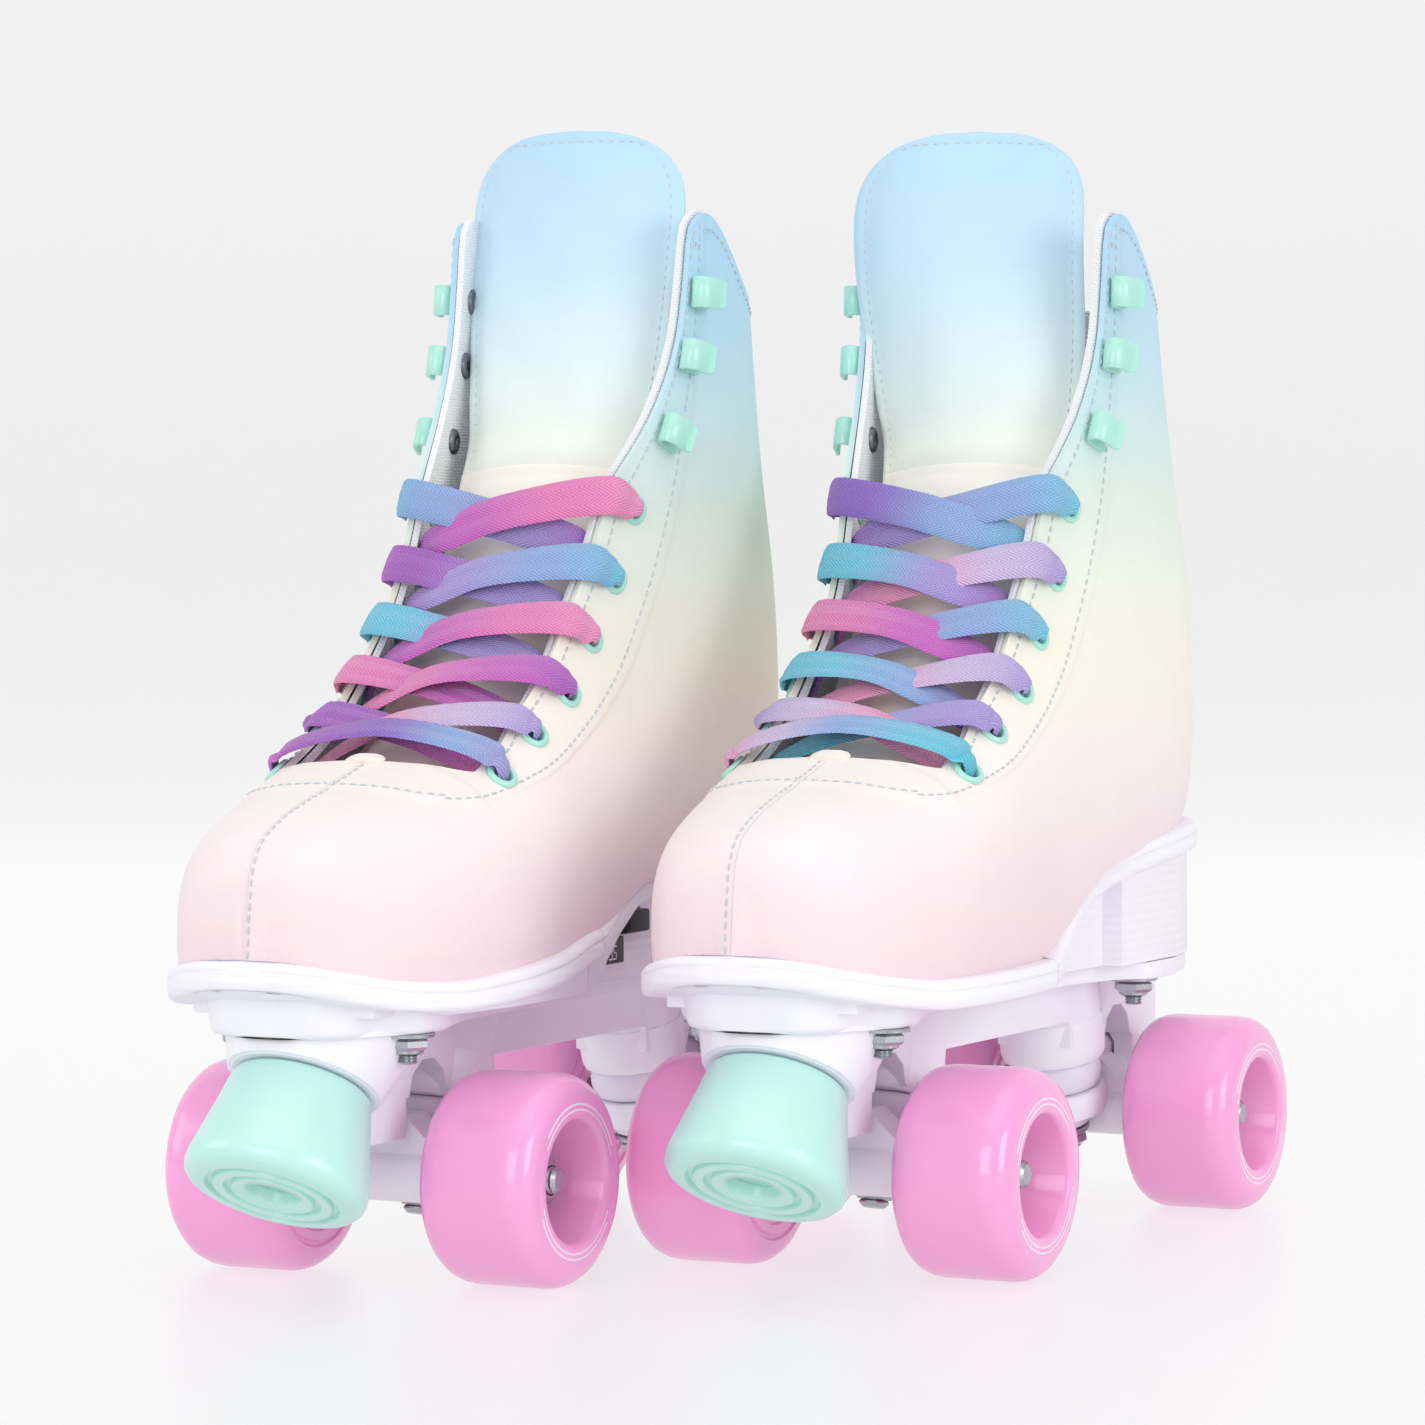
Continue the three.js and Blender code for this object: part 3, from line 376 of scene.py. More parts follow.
# Spacer mesh: bright white with a faint weave.
lining = makeWoven("white_mesh_lining", "#fbfafa", "#eceef1", 0.8)
# Brushed cloth on foam: flat grey.
insoleCloth = makeWoven("grey_insole_cloth", "#d9dade", "#b9bbc2", 1.1)


# Flat polyester tape dyed in runs of colour: herringbone ribs a millimetre apart, a silky sheen.
def makeLaceTape():
    tape = {"rib": 1.3, "half": 5.3}
    material, tree, shader = newMaterial("dyed_lace_tape", Roughness=0.62, Sheen_Weight=0.3,
                                         Sheen_Roughness=0.4, Specular_IOR_Level=0.3)
    dye = add(tree, "Attribute", {"attribute_name": "dye"})
    run = add(tree, "Attribute", {"attribute_name": "run"})  # x along the tape, y across, mm
    split = add(tree, "SeparateXYZ", {}, {}, {0: (run, "Vector")})
    fold = add(tree, "Math", {"operation": "PINGPONG"}, {1: tape["half"] / 2}, {0: (split, "Y")})
    slope = add(tree, "Math", {"operation": "MULTIPLY_ADD"}, {1: 1.5}, {0: (fold, 0), 2: (split, "X")})
    turn = add(tree, "Math", {"operation": "MULTIPLY"}, {1: 2 * math.pi / tape["rib"]}, {0: (slope, 0)})
    rib = add(tree, "Math", {"operation": "SINE"}, {}, {0: (turn, 0)})
    level = add(tree, "MapRange", {}, {"From Min": -1, "To Min": 0.78, "To Max": 1.06}, {"Value": (rib, 0)})
    tint = add(tree, "VectorMath", {"operation": "SCALE"}, {}, {0: (dye, "Color"), "Scale": (level, 0)})
    tree.links.new(tint.outputs[0], shader.inputs["Base Color"])
    bump = add(tree, "Bump", {}, {"Strength": 0.7, "Distance": 0.0002}, {"Height": (rib, 0)})
    tree.links.new(bump.outputs[0], shader.inputs["Normal"])
    return material


laceTape = makeLaceTape()


# Moulded plastic or rubber: one colour, with faint flow clouds and a skin as smooth as its mould.
def makeMoulded(name, code, shade, rough, grainMm, depth, coat=0.0, layers=0.0, subsurface=0.0):
    material, tree, shader = newMaterial(name, Roughness=rough, Coat_Weight=coat, Coat_Roughness=0.08,
                                         Subsurface_Weight=subsurface, Subsurface_Scale=0.003)
    spot = millimetres(tree)
    cloud = add(tree, "TexNoise", {}, {"Scale": 1 / 18, "Detail": 3}, {"Vector": (spot, 0)})
    tint = add(tree, "Mix", {"data_type": "RGBA"}, {"A": colour(shade), "B": colour(code)},
               {"Factor": (cloud, "Fac")})
    tree.links.new(tint.outputs["Result"], shader.inputs["Base Color"])
    grain = add(tree, "TexNoise", {}, {"Scale": 1 / grainMm, "Detail": 3}, {"Vector": (spot, 0)})
    wear = add(tree, "MapRange", {}, {"To Min": rough * 0.85, "To Max": rough * 1.2},
               {"Value": (cloud, "Fac")})
    tree.links.new(wear.outputs[0], shader.inputs["Roughness"])
    bump = add(tree, "Bump", {}, {"Strength": 0.4, "Distance": depth / 1000}, {"Height": (grain, "Fac")})
    if layers:  # thin lines round a layered sole
        line = add(tree, "TexWave", {"bands_direction": "Z"},
                   {"Scale": wavePeriod / layers, "Distortion": 0.4, "Detail Scale": 0.3},
                   {"Vector": (spot, 0)})
        bump = add(tree, "Bump", {}, {"Strength": 0.3, "Distance": 0.00025},
                   {"Height": (line, "Fac"), "Normal": (bump, 0)})
    tree.links.new(bump.outputs[0], shader.inputs["Normal"])
    return material


# Moulded EVA: satin white with the thin lines of its layers.
soleFoam = makeMoulded("white_eva_sole", "#f7f5fc", "#f4f2fb", 0.45, 0.7, 0.04, layers=2.4)
# Injection-moulded glass-filled nylon: satin, faintly lilac white, with a fine spark grain.
plateNylon = makeMoulded("pale_glass_nylon_plate", "#f7f6fd", "#f3f1fb", 0.42, 0.6, 0.04)
# Cast urethane: slightly see-through white.
cushionRubber = makeMoulded("white_polyurethane_cushion", "#f0edf8", "#e6e2f2", 0.4, 0.8, 0.03,
                            subsurface=0.1)
# Moulded rubber: smooth mint with a soft gloss.
stopRubber = makeMoulded("mint_rubber_stop", "#c4efe8", "#beece3", 0.3, 1.2, 0.02, coat=0.35)
# Cast urethane: even pink under a wet-looking gloss.
wheelUrethane = makeMoulded("pink_urethane_wheel", "#faa6db", "#f9a2d8", 0.22, 1.5, 0.01, coat=0.5)
# Baked enamel on pressed steel: glossy mint.
mintEnamel = makeMoulded("mint_enamelled_steel", "#b2ebdb", "#a8e3d2", 0.28, 0.9, 0.02, coat=0.5)
# Pad print: a thin flat film, pink showing through.
printWhite = makeMoulded("white_pad_print", "#fbe6f4", "#f8ddef", 0.4, 0.5, 0.01)
# Moulded ABS: satin black.
blackPlastic = makeMoulded("black_abs_button", "#1c1b1f", "#242328", 0.45, 0.5, 0.04)
# Printed ink: flat white and red.
labelInk = makeMoulded("white_label_ink", "#f1f1f3", "#e6e6ea", 0.5, 0.5, 0.01)
redInk = makeMoulded("red_label_ink", "#b4283a", "#a52334", 0.5, 0.5, 0.01)
# Bonded sewing thread: matt, a shade cooler than the leather.
thread = makeWoven("white_sewing_thread", "#eef3f5", "#c3ced3", 0.5, 0.2)


# Zinc-plated or steel fastener: bright grey with fine brushing and a few dull patches.
def makeMetal(name, code, rough, brush=0.35):
    material, tree, shader = newMaterial(name, Metallic=1, Roughness=rough)
    spot = millimetres(tree)
    streak = add(tree, "TexNoise", {}, {"Scale": 1 / brush, "Detail": 4}, {"Vector": (spot, 0)})
    tint = add(tree, "Mix", {"data_type": "RGBA"}, {"A": colour("#8d9096"), "B": colour(code)},
               {"Factor": (streak, "Fac")})
    tree.links.new(tint.outputs["Result"], shader.inputs["Base Color"])
    dull = add(tree, "MapRange", {}, {"To Min": rough * 0.7, "To Max": rough * 1.5},
               {"Value": (streak, "Fac")})
    tree.links.new(dull.outputs[0], shader.inputs["Roughness"])
    bump = add(tree, "Bump", {}, {"Strength": 0.25, "Distance": 0.00004}, {"Height": (streak, "Fac")})
    tree.links.new(bump.outputs[0], shader.inputs["Normal"])
    return material


# Bright zinc: pale grey and clean.
zincSteel = makeMetal("zinc_plated_steel", "#d9dce0", 0.28)
# Chemically blackened: dark and a little glossy.
darkSteel = makeMetal("blackened_rivet_steel", "#6c7078", 0.3)
# Ground and polished: nearly a mirror.
bearingSteel = makeMetal("polished_bearing_steel", "#e4e6ea", 0.18)
print("materials made")

# The last that the boot is drawn over: rings from the toe up to the collar.
last = {
    # each ring's crest (y, z), base or back (y, z) and half-width
    "stations": [
        (-143.5, 101, -143.5, 84, 5), (-142.4, 107, -142, 76, 13), (-138.5, 113.5, -139, 68, 21),
        (-130, 118.5, -131, 62, 28.5), (-117, 123, -118, 60, 35.5), (-102, 127, -103, 60, 40.5),
        (-88, 131.5, -87, 60, 43), (-76, 137, -66, 60, 43.5), (-65, 144.5, -44, 60, 42.5),
        (-56, 155, -10, 64, 40), (-50, 168, 40, 72, 38), (-45, 183, 84, 84, 36), (-40, 199, 106, 106, 36),
        (-33, 217, 107, 134, 36.5), (-26, 235, 101, 164, 37), (-17, 257, 86, 205, 37.2),
        (-8, 292, 66, 292, 37),
    ],
    "squareness": 2.6,
    "lean": 3, "leanFrom": 130, "leanTo": 280,
    "collar": [(-60, 277), (20, 277), (28, 275), (36, 269), (44, 260), (54, 254), (66, 251), (120, 250)],
    # station and degrees of the facing's front edge
    "throat": [(6, 0), (6.1, 17), (6.25, 27), (6.45, 34), (6.9, 34.5), (8.35, 34), (9.6, 40), (10.7, 43.5),
               (11.75, 47), (12.75, 49), (14, 59), (15, 67), (16, 74)],
    "eyelets": [(6.9, 44), (8.35, 45), (9.6, 52), (10.7, 54), (11.75, 57), (12.75, 59)],
    "hooks": [(13.95, 68), (14.85, 74.5), (15.3, 79.5)],
    # stitched edge of the eyestay, from the toe seam round under the eyelets and up behind the hooks
    "seam": [(4.66, 0), (4.72, 15.7), (5.06, 34.9), (5.95, 48.3), (7.48, 56.2), (8.99, 64.7), (10.49, 69),
             (11.87, 71.1), (13.23, 74.5), (14.53, 77.6), (15.28, 81.5), (16, 86)],
    "wall": 3.5,
}
crest = [Vector((s[4], s[0], s[1])) for s in last["stations"]]
base = [Vector((0, s[2], s[3])) for s in last["stations"]]
topStation = len(crest) - 1


# A circle's sine or cosine, squared off to the last's rounder rings.
def squared(value):
    return math.copysign(abs(value) ** (2 / last["squareness"]), value)


spines = {}  # crest and base of each station met so far


# A point of the last, by ring and by degrees round it from the crest, positive on the inner side.
def lastPoint(station, degrees, inset=0):
    if station not in spines:
        spines[station] = (curveAt(crest, station), curveAt(base, station))
    top, low = spines[station]
    half = top.x
    top = Vector((0, top.y, top.z))
    down = low - top
    depth = down.length / 2
    a = math.radians(degrees)
    point = top + down.normalized() * (depth - (depth - inset) * squared(math.cos(a)))
    lean = last["lean"] * blendStep(last["leanFrom"], last["leanTo"], point.z)
    point.x = lean + (half - inset) * squared(math.sin(a))
    return point


def lastNormal(station, degrees):
    around = lastPoint(station, degrees + 2) - lastPoint(station, degrees - 2)
    along = lastPoint(station + 0.2, degrees) - lastPoint(station - 0.2, degrees)
    normal = along.cross(around).normalized()
    return -normal if normal.x * degrees < 0 else normal


def offSkin(station, degrees, out):
    return lastPoint(station, degrees) + lastNormal(station, degrees) * out


sole = {
    "top": [(-148, 87), (-138, 83), (-124, 80), (-108, 78), (-36, 78), (-26, 82), (-13, 91), (0, 97.5),
            (16, 101), (45, 104.5), (80, 107.5), (112, 109.5)],
    # extra height of the inner edge
    "arch": [(-125, 0), (-100, 1.5), (-80, 3), (-62, 5), (-44, 9), (-24, 9), (-6, 4.5), (14, 0)],
    "outline": [(0, -146), (12, -144.6), (22, -140), (30.5, -131), (37.5, -118), (42.5, -102), (44.5, -86),
                (44.5, -66), (42, -44), (37.5, -22), (35, 0), (34.5, 30), (34.5, 55), (33.5, 74), (29.5, 89),
                (21.5, 100), (11, 105.5), (0, 107)],
    # the edge's profile, with its groove: mm ahead and below the top
    "edge": [(-1.6, 0), (-0.6, 0.15), (0.1, 0.9), (0.5, 1.8), (0.5, 2.5), (0.15, 2.8), (0.5, 3.1), (0.5, 5.9),
             (0.1, 6.9), (-0.7, 7.4), (-1.8, 7.5)],
    "thick": 7.2, "split": -38, "splitGap": 0.2,
}


# Height of the sole's top face, with the corners of its line eased.
def soleTop(y, x=-40):
    ease = 5
    inward = blendStep(0, 34, x)
    return sum(linearAt(sole["top"], y + d) + inward * linearAt(sole["arch"], y + d)
               for d in (-ease, -ease / 2, 0, ease / 2, ease)) / 5


def collarTop(y):
    ease = 6
    return sum(linearAt(last["collar"], y + d) for d in (-ease, 0, ease)) / 3


def throatDegrees(station):
    return linearAt(last["throat"], station) if station > 6 else 0


seamLine = [Vector((a, b * 0.1, 0)) for a, b in last["seam"]]
seamPoints = [(p.x, p.y * 10) for p in (curveAt(seamLine, k / 8) for k in range(8 * len(seamLine) - 7))]


def seamDegrees(station):
    return linearAt(seamPoints, station) if station > last["seam"][0][0] else -10


# Where a test stops holding between low and high.
def bisect(test, low, high):
    for _ in range(22):
        half = (low + high) / 2
        low, high = (half, high) if test(half) else (low, half)
    return (low + high) / 2


# Where a ring of the last meets the sole, in degrees from its crest.
def footDegrees(station, hand):
    def above(a):
        p = lastPoint(station, hand * a)
        return p.z > soleTop(p.y, p.x) - boot["sink"]
    a = 40
    while a < 180 and above(a):
        a += 4
    return 180 if a >= 180 else bisect(above, a - 4, a)


boot = {
    "rows": 168, "columns": 66, "shaftFrom": 13, "thick": 1.6, "lining": 1.7, "raise": 0.4, "sink": 0.6,
    "corner": 11,  # radius of the collar's front corner
    "ringRadius": 38, "ringGap": 13.5,  # mean sizes that turn degrees and stations into mm
    "hole": 3.1, "seamEnd": 5.95,
    "tip": [(0.35, 0.75), (0.7, 1.25), (0.92, 1.5), (1, 1.6)],  # rows that close the toe: share, mm ahead
}


# Drop of the collar's edge at a distance from its front corner, as a share of the corner's radius.
def cornerDrop(away):
    share = min(away / boot["corner"], 1)
    return boot["corner"] * (1 - math.sqrt(1 - (1 - share) ** 2))


# Half of the boot's skin as rows of (station, degrees), from the facing's edge or the crest to the
# sole or the back.
def skinGrid(edgeBack, topLift, hand):
    rows = []
    for r in range(boot["rows"] + 1):
        nominal = topStation * r / boot["rows"]
        first = throatDegrees(nominal)
        first = max(first + edgeBack, 0) if first > 0 else 0
        foot = footDegrees(nominal, hand)
        row = []
        for c in range(boot["columns"] + 1):
            degrees = mix(first, foot, c / boot["columns"])
            station = nominal
            if nominal > boot["shaftFrom"]:
                drop = cornerDrop(math.radians(degrees - first) * boot["ringRadius"])

                def below(s):
                    p = lastPoint(s, degrees)
                    return p.z < collarTop(p.y) + topLift - drop
                top = bisect(below, boot["shaftFrom"], topStation)
                upShaft = (nominal - boot["shaftFrom"]) / (topStation - boot["shaftFrom"])
                station = mix(boot["shaftFrom"], top, upShaft)
            row.append((station, degrees))
        rows.append(row)
    return rows


# How far inside the eyestay's edge a place lies in mm.
def seamDistance(station, degrees):
    if station < 4.4:
        return -9
    across = math.radians(seamDegrees(station) - degrees) * boot["ringRadius"]
    ahead = (station - last["seam"][0][0]) * boot["ringGap"]
    return min(across, ahead if degrees < 25 else 99)


# Skin over the last at an inset, as one mesh open at the sole, the throat and the collar.
def makeSkin(name, side, inset, edgeBack, topLift, thick, material, marks=True):
    points, faces, distances, toe = [], [], [], []
    width = boot["columns"] + 1
    toeEnd = lastPoint(0, 0).y
    floor = Vector((0, toeEnd, soleTop(last["stations"][0][0]) - boot["sink"]))
    for hand in (1, -1):
        start = len(points)
        rows = []
        grid = skinGrid(edgeBack, topLift, hand)
        ring = [lastPoint(0, hand * degrees, inset) for _, degrees in grid[0]]
        for share, ahead in reversed(boot["tip"]):
            rows.append([(p.lerp(floor, share) + Vector((0, -ahead, 0)), -9, 0) for p in ring])
        for row in grid:
            rows.append([(lastPoint(station, hand * degrees, inset), seamDistance(station, degrees), station)
                         for station, degrees in row])
        for row in rows:
            for p, far, station in row:
                points.append(p)
                distances.append(far)
                toe.append(abs(p.x) if station < boot["seamEnd"] else 9)
        for r in range(len(rows) - 1):
            for c in range(width - 1):
                a = start + r * width + c
                quad = (a, a + 1, a + width + 1, a + width)
                faces.append(quad if hand * skates[side]["hand"] > 0 else quad[::-1])
    mesh = bpy.data.meshes.new(name)
    mesh.from_pydata([toWorld(side, p) for p in points], [], faces)
    if marks:
        mesh.attributes.new("seam", "FLOAT", "POINT").data.foreach_set("value", distances)
        mesh.attributes.new("toeSeam", "FLOAT", "POINT").data.foreach_set("value", toe)
    work = bmesh.new()
    work.from_mesh(mesh)
    bmesh.ops.remove_doubles(work, verts=work.verts, dist=0.00004)
    bmesh.ops.dissolve_degenerate(work, edges=work.edges, dist=0.00002)
    work.normal_update()
    facing = sum((f.normal.dot(f.calc_center_median() - toWorld(side, (0, 0, 150))) for f in work.faces))
    if facing < 0:
        bmesh.ops.reverse_faces(work, faces=work.faces)
        work.normal_update()
    if marks:  # the eyestay lies on the vamp, so its leather stands proud
        layer = work.verts.layers.float["seam"]
        for v in work.verts:
            v.co += v.normal * boot["raise"] / 1000 * blendStep(-0.8, 0.8, v[layer])
    work.to_mesh(mesh)
    work.free()
    mesh.materials.append(material)
    piece = bpy.data.objects.new(name, mesh)
    bpy.context.scene.collection.objects.link(piece)
    modify(piece, "SOLIDIFY", thickness=thick / 1000, offset=-1, use_even_offset=False)
    settle(piece, 50)
    return piece


# Cuts the eyelets' holes.
def throughHoles(piece, side):
    parts, radius = [], boot["hole"]
    for station, degrees in last["eyelets"]:
        for hand in (1, -1):
            place = onAxis(lastPoint(station, hand * degrees), lastNormal(station, hand * degrees))
            parts.append(turned([(0, -9), (radius, -9), (radius, 9), (0, 9)], 20, place, closed=False))
    cutter = makePiece("cutter", side, *joinParts(parts), lining)
    modify(piece, "BOOLEAN", object=cutter, operation="DIFFERENCE", solver="MANIFOLD")
    settle(piece, 50)
    bpy.data.objects.remove(cutter)


def makeBoot(side):
    leather = makeSkin(side + "_boot_leather", side, 0, 0.5, 0, boot["thick"], bootLeather)
    throughHoles(leather, side)
    attachStretching(leather, side, ("upper", "toe_box"))
    inner = makeSkin(side + "_boot_lining", side, boot["thick"] + 0.15, -1.2, 0.5, boot["lining"], lining,
                     marks=False)
    throughHoles(inner, side)
    attachStretching(inner, side)


# Each stitch is a short grain of thread lying in the leather.
stitch = {"length": 2.1, "pitch": 2.9, "width": 0.6, "height": 0.5, "sides": 6, "dip": 0.28, "lift": 0.22,
          "fromEdge": 4.6, "toeAside": 1.2, "backRows": 3.2,
          # stations where the facing's, the toe's and the back's rows start and end
          "facing": (6.6, 15.6), "toe": (5.85, 0), "back": (12.6, 15.7)}


def makeStitch(middle, along, normal):
    along = along.normalized()
    across = along.cross(normal).normalized()
    up = across.cross(along)
    if up.dot(normal) < 0:
        up = -up
    rings = []
    for share, size in ((-1, 0.25), (-0.75, 0.8), (0, 1), (0.75, 0.8), (1, 0.25)):
        sink = stitch["dip"] * share * share
        centre = middle + along * (share * stitch["length"] / 2) - up * sink
        rings.append([centre + across * (math.cos(a) * stitch["width"] / 2 * size)
                      + up * (math.sin(a) * stitch["height"] / 2 * size)
                      for a in (2 * math.pi * i / stitch["sides"] for i in range(stitch["sides"]))])
    return bridge(rings)


# Stitches along a line of (point, normal).
def sewLine(line):
    parts, left = [], stitch["pitch"] / 2
    for (p, n), (q, _) in zip(line, line[1:]):
        step = q - p
        length = step.length
        if length < 1e-6:
            continue
        at = left
        while at < length:
            parts.append(makeStitch(p + step * (at / length), step, n))
            at += stitch["pitch"]
        left = at - length
    return parts


def onLeather(station, degrees, raised):
    return (offSkin(station, degrees, boot["raise"] * raised + stitch["lift"]), lastNormal(station, degrees))


def sewBoot(side):
    parts = []
    for hand in (1, -1):
        edge = []
        station, final = stitch["facing"]
        while station < final:
            degrees = throatDegrees(station) + stitch["fromEdge"]
            edge.append(onLeather(station, hand * degrees, 1))
            station += 0.1
        # round the facing's top corner and back along the collar
        degrees = throatDegrees(final) + 6
        while degrees < 180:
            away = math.radians(degrees - throatDegrees(topStation)) * boot["ringRadius"]
            drop = cornerDrop(max(away - 3, 0)) * 0.8 + 3

            def below(s):
                p = lastPoint(s, degrees)
                return p.z < collarTop(p.y) - drop
            station = bisect(below, boot["shaftFrom"], topStation)
            edge.append(onLeather(station, hand * degrees, 1 if degrees < seamDegrees(topStation) else 0))
            degrees += 2
        parts += sewLine(edge)
        # a row 2.2 mm inside the eyestay's edge
        line = []
        for s, a in seamPoints:
            p = lastPoint(s, hand * a)
            if p.z < collarTop(p.y) - 4:
                line.append(onLeather(s + (0.16 if a < 40 else 0), hand * max(a - 3.2, 0), 1))
        parts += sewLine(line)
    toeLine = []
    station, final = stitch["toe"]
    while station >= final:
        p, n = lastPoint(station, 0.01), lastNormal(station, 0.01)
        lift = stitch["lift"] + (boot["raise"] if station > 4.7 else 0)
        toeLine.append((p + n * lift + Vector((stitch["toeAside"], 0, 0)), n))
        station -= 0.15
    tip = lastPoint(0, 0)
    low = soleTop(last["stations"][0][0])
    for share, _ in boot["tip"][:3]:
        p = Vector((stitch["toeAside"], tip.y - 0.9 - share * 0.8, mix(tip.z, low, share)))
        toeLine.append((p, Vector((0, -1, 0))))
    parts += sewLine(toeLine)
    back = []
    station, final = stitch["back"]
    while station < final:
        p, n = lastPoint(station, 179.9), lastNormal(station, 179.9)
        n = Vector((0, 1, 0)) if n.y < 0 else n
        back.append((p + n * 0.1 + Vector((stitch["backRows"] / 2, 0, 0)), n))
        station += 0.1
    parts += sewLine(back)
    parts += sewLine([(p - Vector((stitch["backRows"], 0, 0)), n) for p, n in back])
    piece = makePiece(side + "_boot_stitching", side, *joinParts(parts), thread, sharp=80)
    attachStretching(piece, side)


# The small leather tab at the foot of the throat.
throatTab = {"station": 6.0, "reach": 0.16, "half": 5.6, "thick": 1.3, "faces": (0, -0.45, 0.9),
             "section": [(-1, 0), (-0.9, 0.8), (-0.5, 1), (0, 1), (0.5, 1), (0.9, 0.8), (1, 0)]}


def makeThroatTab(side):
    rings = []
    n = Vector(throatTab["faces"])
    for share in (-1, -0.6, 0, 0.6, 1):
        half = throatTab["half"] * (1 - 0.12 * share * share)
        p = lastPoint(throatTab["station"] + share * throatTab["reach"], 0.01)
        rings.append([p + Vector((x * half, 0,
                                  0)) + n * (z * throatTab["thick"] * (1 - 0.5 * abs(x) ** 4) + 0.2)
                      for x, z in throatTab["section"]])
    piece = makePiece(side + "_throat_tab", side, *bridge(rings), creamLeather, sharp=60)
    attachStretching(piece, side)


# Rolled eyelets, and hooks bent from a strip, riveted through the lining.
eyelet = {"hole": 2.45, "flange": 4.2}
hook = {"width": 8.2, "thick": 1.2,
        "bend": [(4.2, 0.9), (0, 0.9), (-2.9, 0.9), (-4.3, 1.5), (-5.1, 2.9), (-4.8, 4.5), (-3.4, 5.5),
                 (-1.2, 5.8), (1.4, 5.9), (3.2, 6.5)],
        "section": [(-1, -0.6), (-0.93, -1), (0.93, -1), (1, -0.6), (1, 0.6), (0.93, 1), (-0.93, 1),
                    (-1, 0.6)],
        "head": [(0, 1.1), (1.7, 1.05), (2.1, 0.7), (2.2, 0.2)],
        "rivet": [(0.9, -1.2), (0.9, 0.45), (1.5, 0.95), (2.6, 1.0), (3.3, 0.65), (3.6, 0.1), (3.5, -1.2)]}


def makeEyelets(side):
    parts = []
    h, f = eyelet["hole"], eyelet["flange"]
    for station, degrees in last["eyelets"]:
        for hand in (1, -1):
            place = onAxis(offSkin(station, hand * degrees, boot["raise"]),
                           lastNormal(station, hand * degrees))
            parts.append(turned([(h, -3.6), (h, 0.5), (h + 0.25, 0.95), (h + 0.75, 1.15), (f - 0.45, 0.95),
                                 (f, 0.4), (f - 0.05, 0.02), (h + 0.5, -0.05), (h + 0.35, -3.6)], 40, place))
            parts.append(turned([(h + 0.36, -4.4), (f - 0.3, -4.3), (f - 0.2, -4), (h + 0.36, -3.9)], 32,
                                place))
    piece = makePiece(side + "_eyelets", side, *joinParts(parts), mintEnamel, sharp=50)
    attachStretching(piece, side)


def makeHooks(side):
    bodies, rivets = [], []
    for station, degrees in last["hooks"]:
        for hand in (1, -1):
            origin, n = lastPoint(station, hand * degrees), lastNormal(station, hand * degrees)
            up = lastPoint(station + 0.2, hand * (degrees + 1.2)) - lastPoint(station - 0.2,
                                                                              hand * (degrees - 1.2))
            up = (up - n * up.dot(n)).normalized()
            back = lastPoint(station, hand * (degrees + 3)) - origin
            back = (back - n * back.dot(n) - up * back.dot(up)).normalized()
            line = [Vector((b, h, 0)) for b, h in hook["bend"]]
            final = len(line) - 1
            rings = []
            for k in range(37):
                spot = k * final / 36
                at = curveAt(line, spot)
                way = (curveAt(line, min(spot + 0.05, final)) - curveAt(line,
                                                                        max(spot - 0.05, 0))).normalized()
                aside = Vector((-way.y, way.x, 0))
                end = min(k, 36 - k)
                narrowed = 1 if end > 5 else math.sqrt(1 - ((6 - end) / 7) ** 2) * 0.35 + 0.65
                half = hook["width"] / 2 * narrowed
                ring = []
                for x, t in hook["section"]:
                    q = at + aside * (t * hook["thick"] / 2)
                    ring.append(origin + back * q.x + n * q.y + up * (x * half))
                rings.append(ring)
            bodies.append(bridge(rings))
            place = onAxis(origin + back * 1.0 + n * 0.4, n)
            bodies.append(turned(hook["head"], 24, place, closed=False))
            inside = onAxis(origin - n * (last["wall"] + 0.1) + back * 1.0, -n)
            rivets.append(turned(hook["rivet"], 28, inside))
    piece = makePiece(side + "_speed_hooks", side, *joinParts(bodies), mintEnamel, sharp=40)
    attach(piece, side, "skate")
    piece = makePiece(side + "_hook_rivets", side, *joinParts(rivets), darkSteel, sharp=40)
    attach(piece, side, "skate")


# One flat tape, up through the eyelets in crossed rows.
lace = {
    "width": 10.6, "thick": 1.1, "standoff": 1.75, "lift": 2.9, "bow": 5.2, "crossing": 1.7, "inside": -5.4,
    "dyes": {"pink": "#fba3cb", "rose": "#f38cc6", "magenta": "#d673cb", "purple": "#ad6bca",
             "violet": "#9a74d2",
             "lavender": "#b3a3e2", "lilac": "#dcc9ee", "blue": "#9bb8ea", "cyan": "#7ad3ec",
             "teal": "#61cae2"},
}
# colours from each row's eyelet back to where it comes out from under the other facing
laceRows = {
    "right": {
        5: {1: "pink rose magenta purple", -1: "cyan blue lavender purple"},
        4: {1: "cyan blue lavender purple", -1: "magenta purple lavender lavender"},
        3: {1: "pink rose magenta purple", -1: "cyan cyan lavender lavender"},
        2: {1: "purple magenta rose pink", -1: "pink rose magenta purple"},
        1: {1: "lavender lilac pink pink", -1: "purple purple magenta rose"},
        0: {1: "lavender blue violet purple magenta"},
    },
    "left": {
        5: {1: "purple violet blue cyan", -1: "cyan blue lavender purple"},
        4: {1: "teal cyan lavender purple", -1: "lavender lilac pink magenta"},
        3: {1: "pink rose magenta purple", -1: "cyan blue lavender purple"},
        2: {1: "teal cyan blue purple", -1: "lavender lilac pink rose"},
        1: {1: "lavender lilac pink pink", -1: "lavender lavender cyan teal"},
        0: {1: "pink lilac blue cyan teal"},
    },
}


# Colour at a share of a run through named dyes.
def dyeAt(names, share):
    stops = [Vector(colour(lace["dyes"][n])[:3]) for n in names.split()]
    at = share * (len(stops) - 1)
    index = min(int(at), len(stops) - 2)
    return stops[index].lerp(stops[index + 1], blendStep(0, 1, at - index))


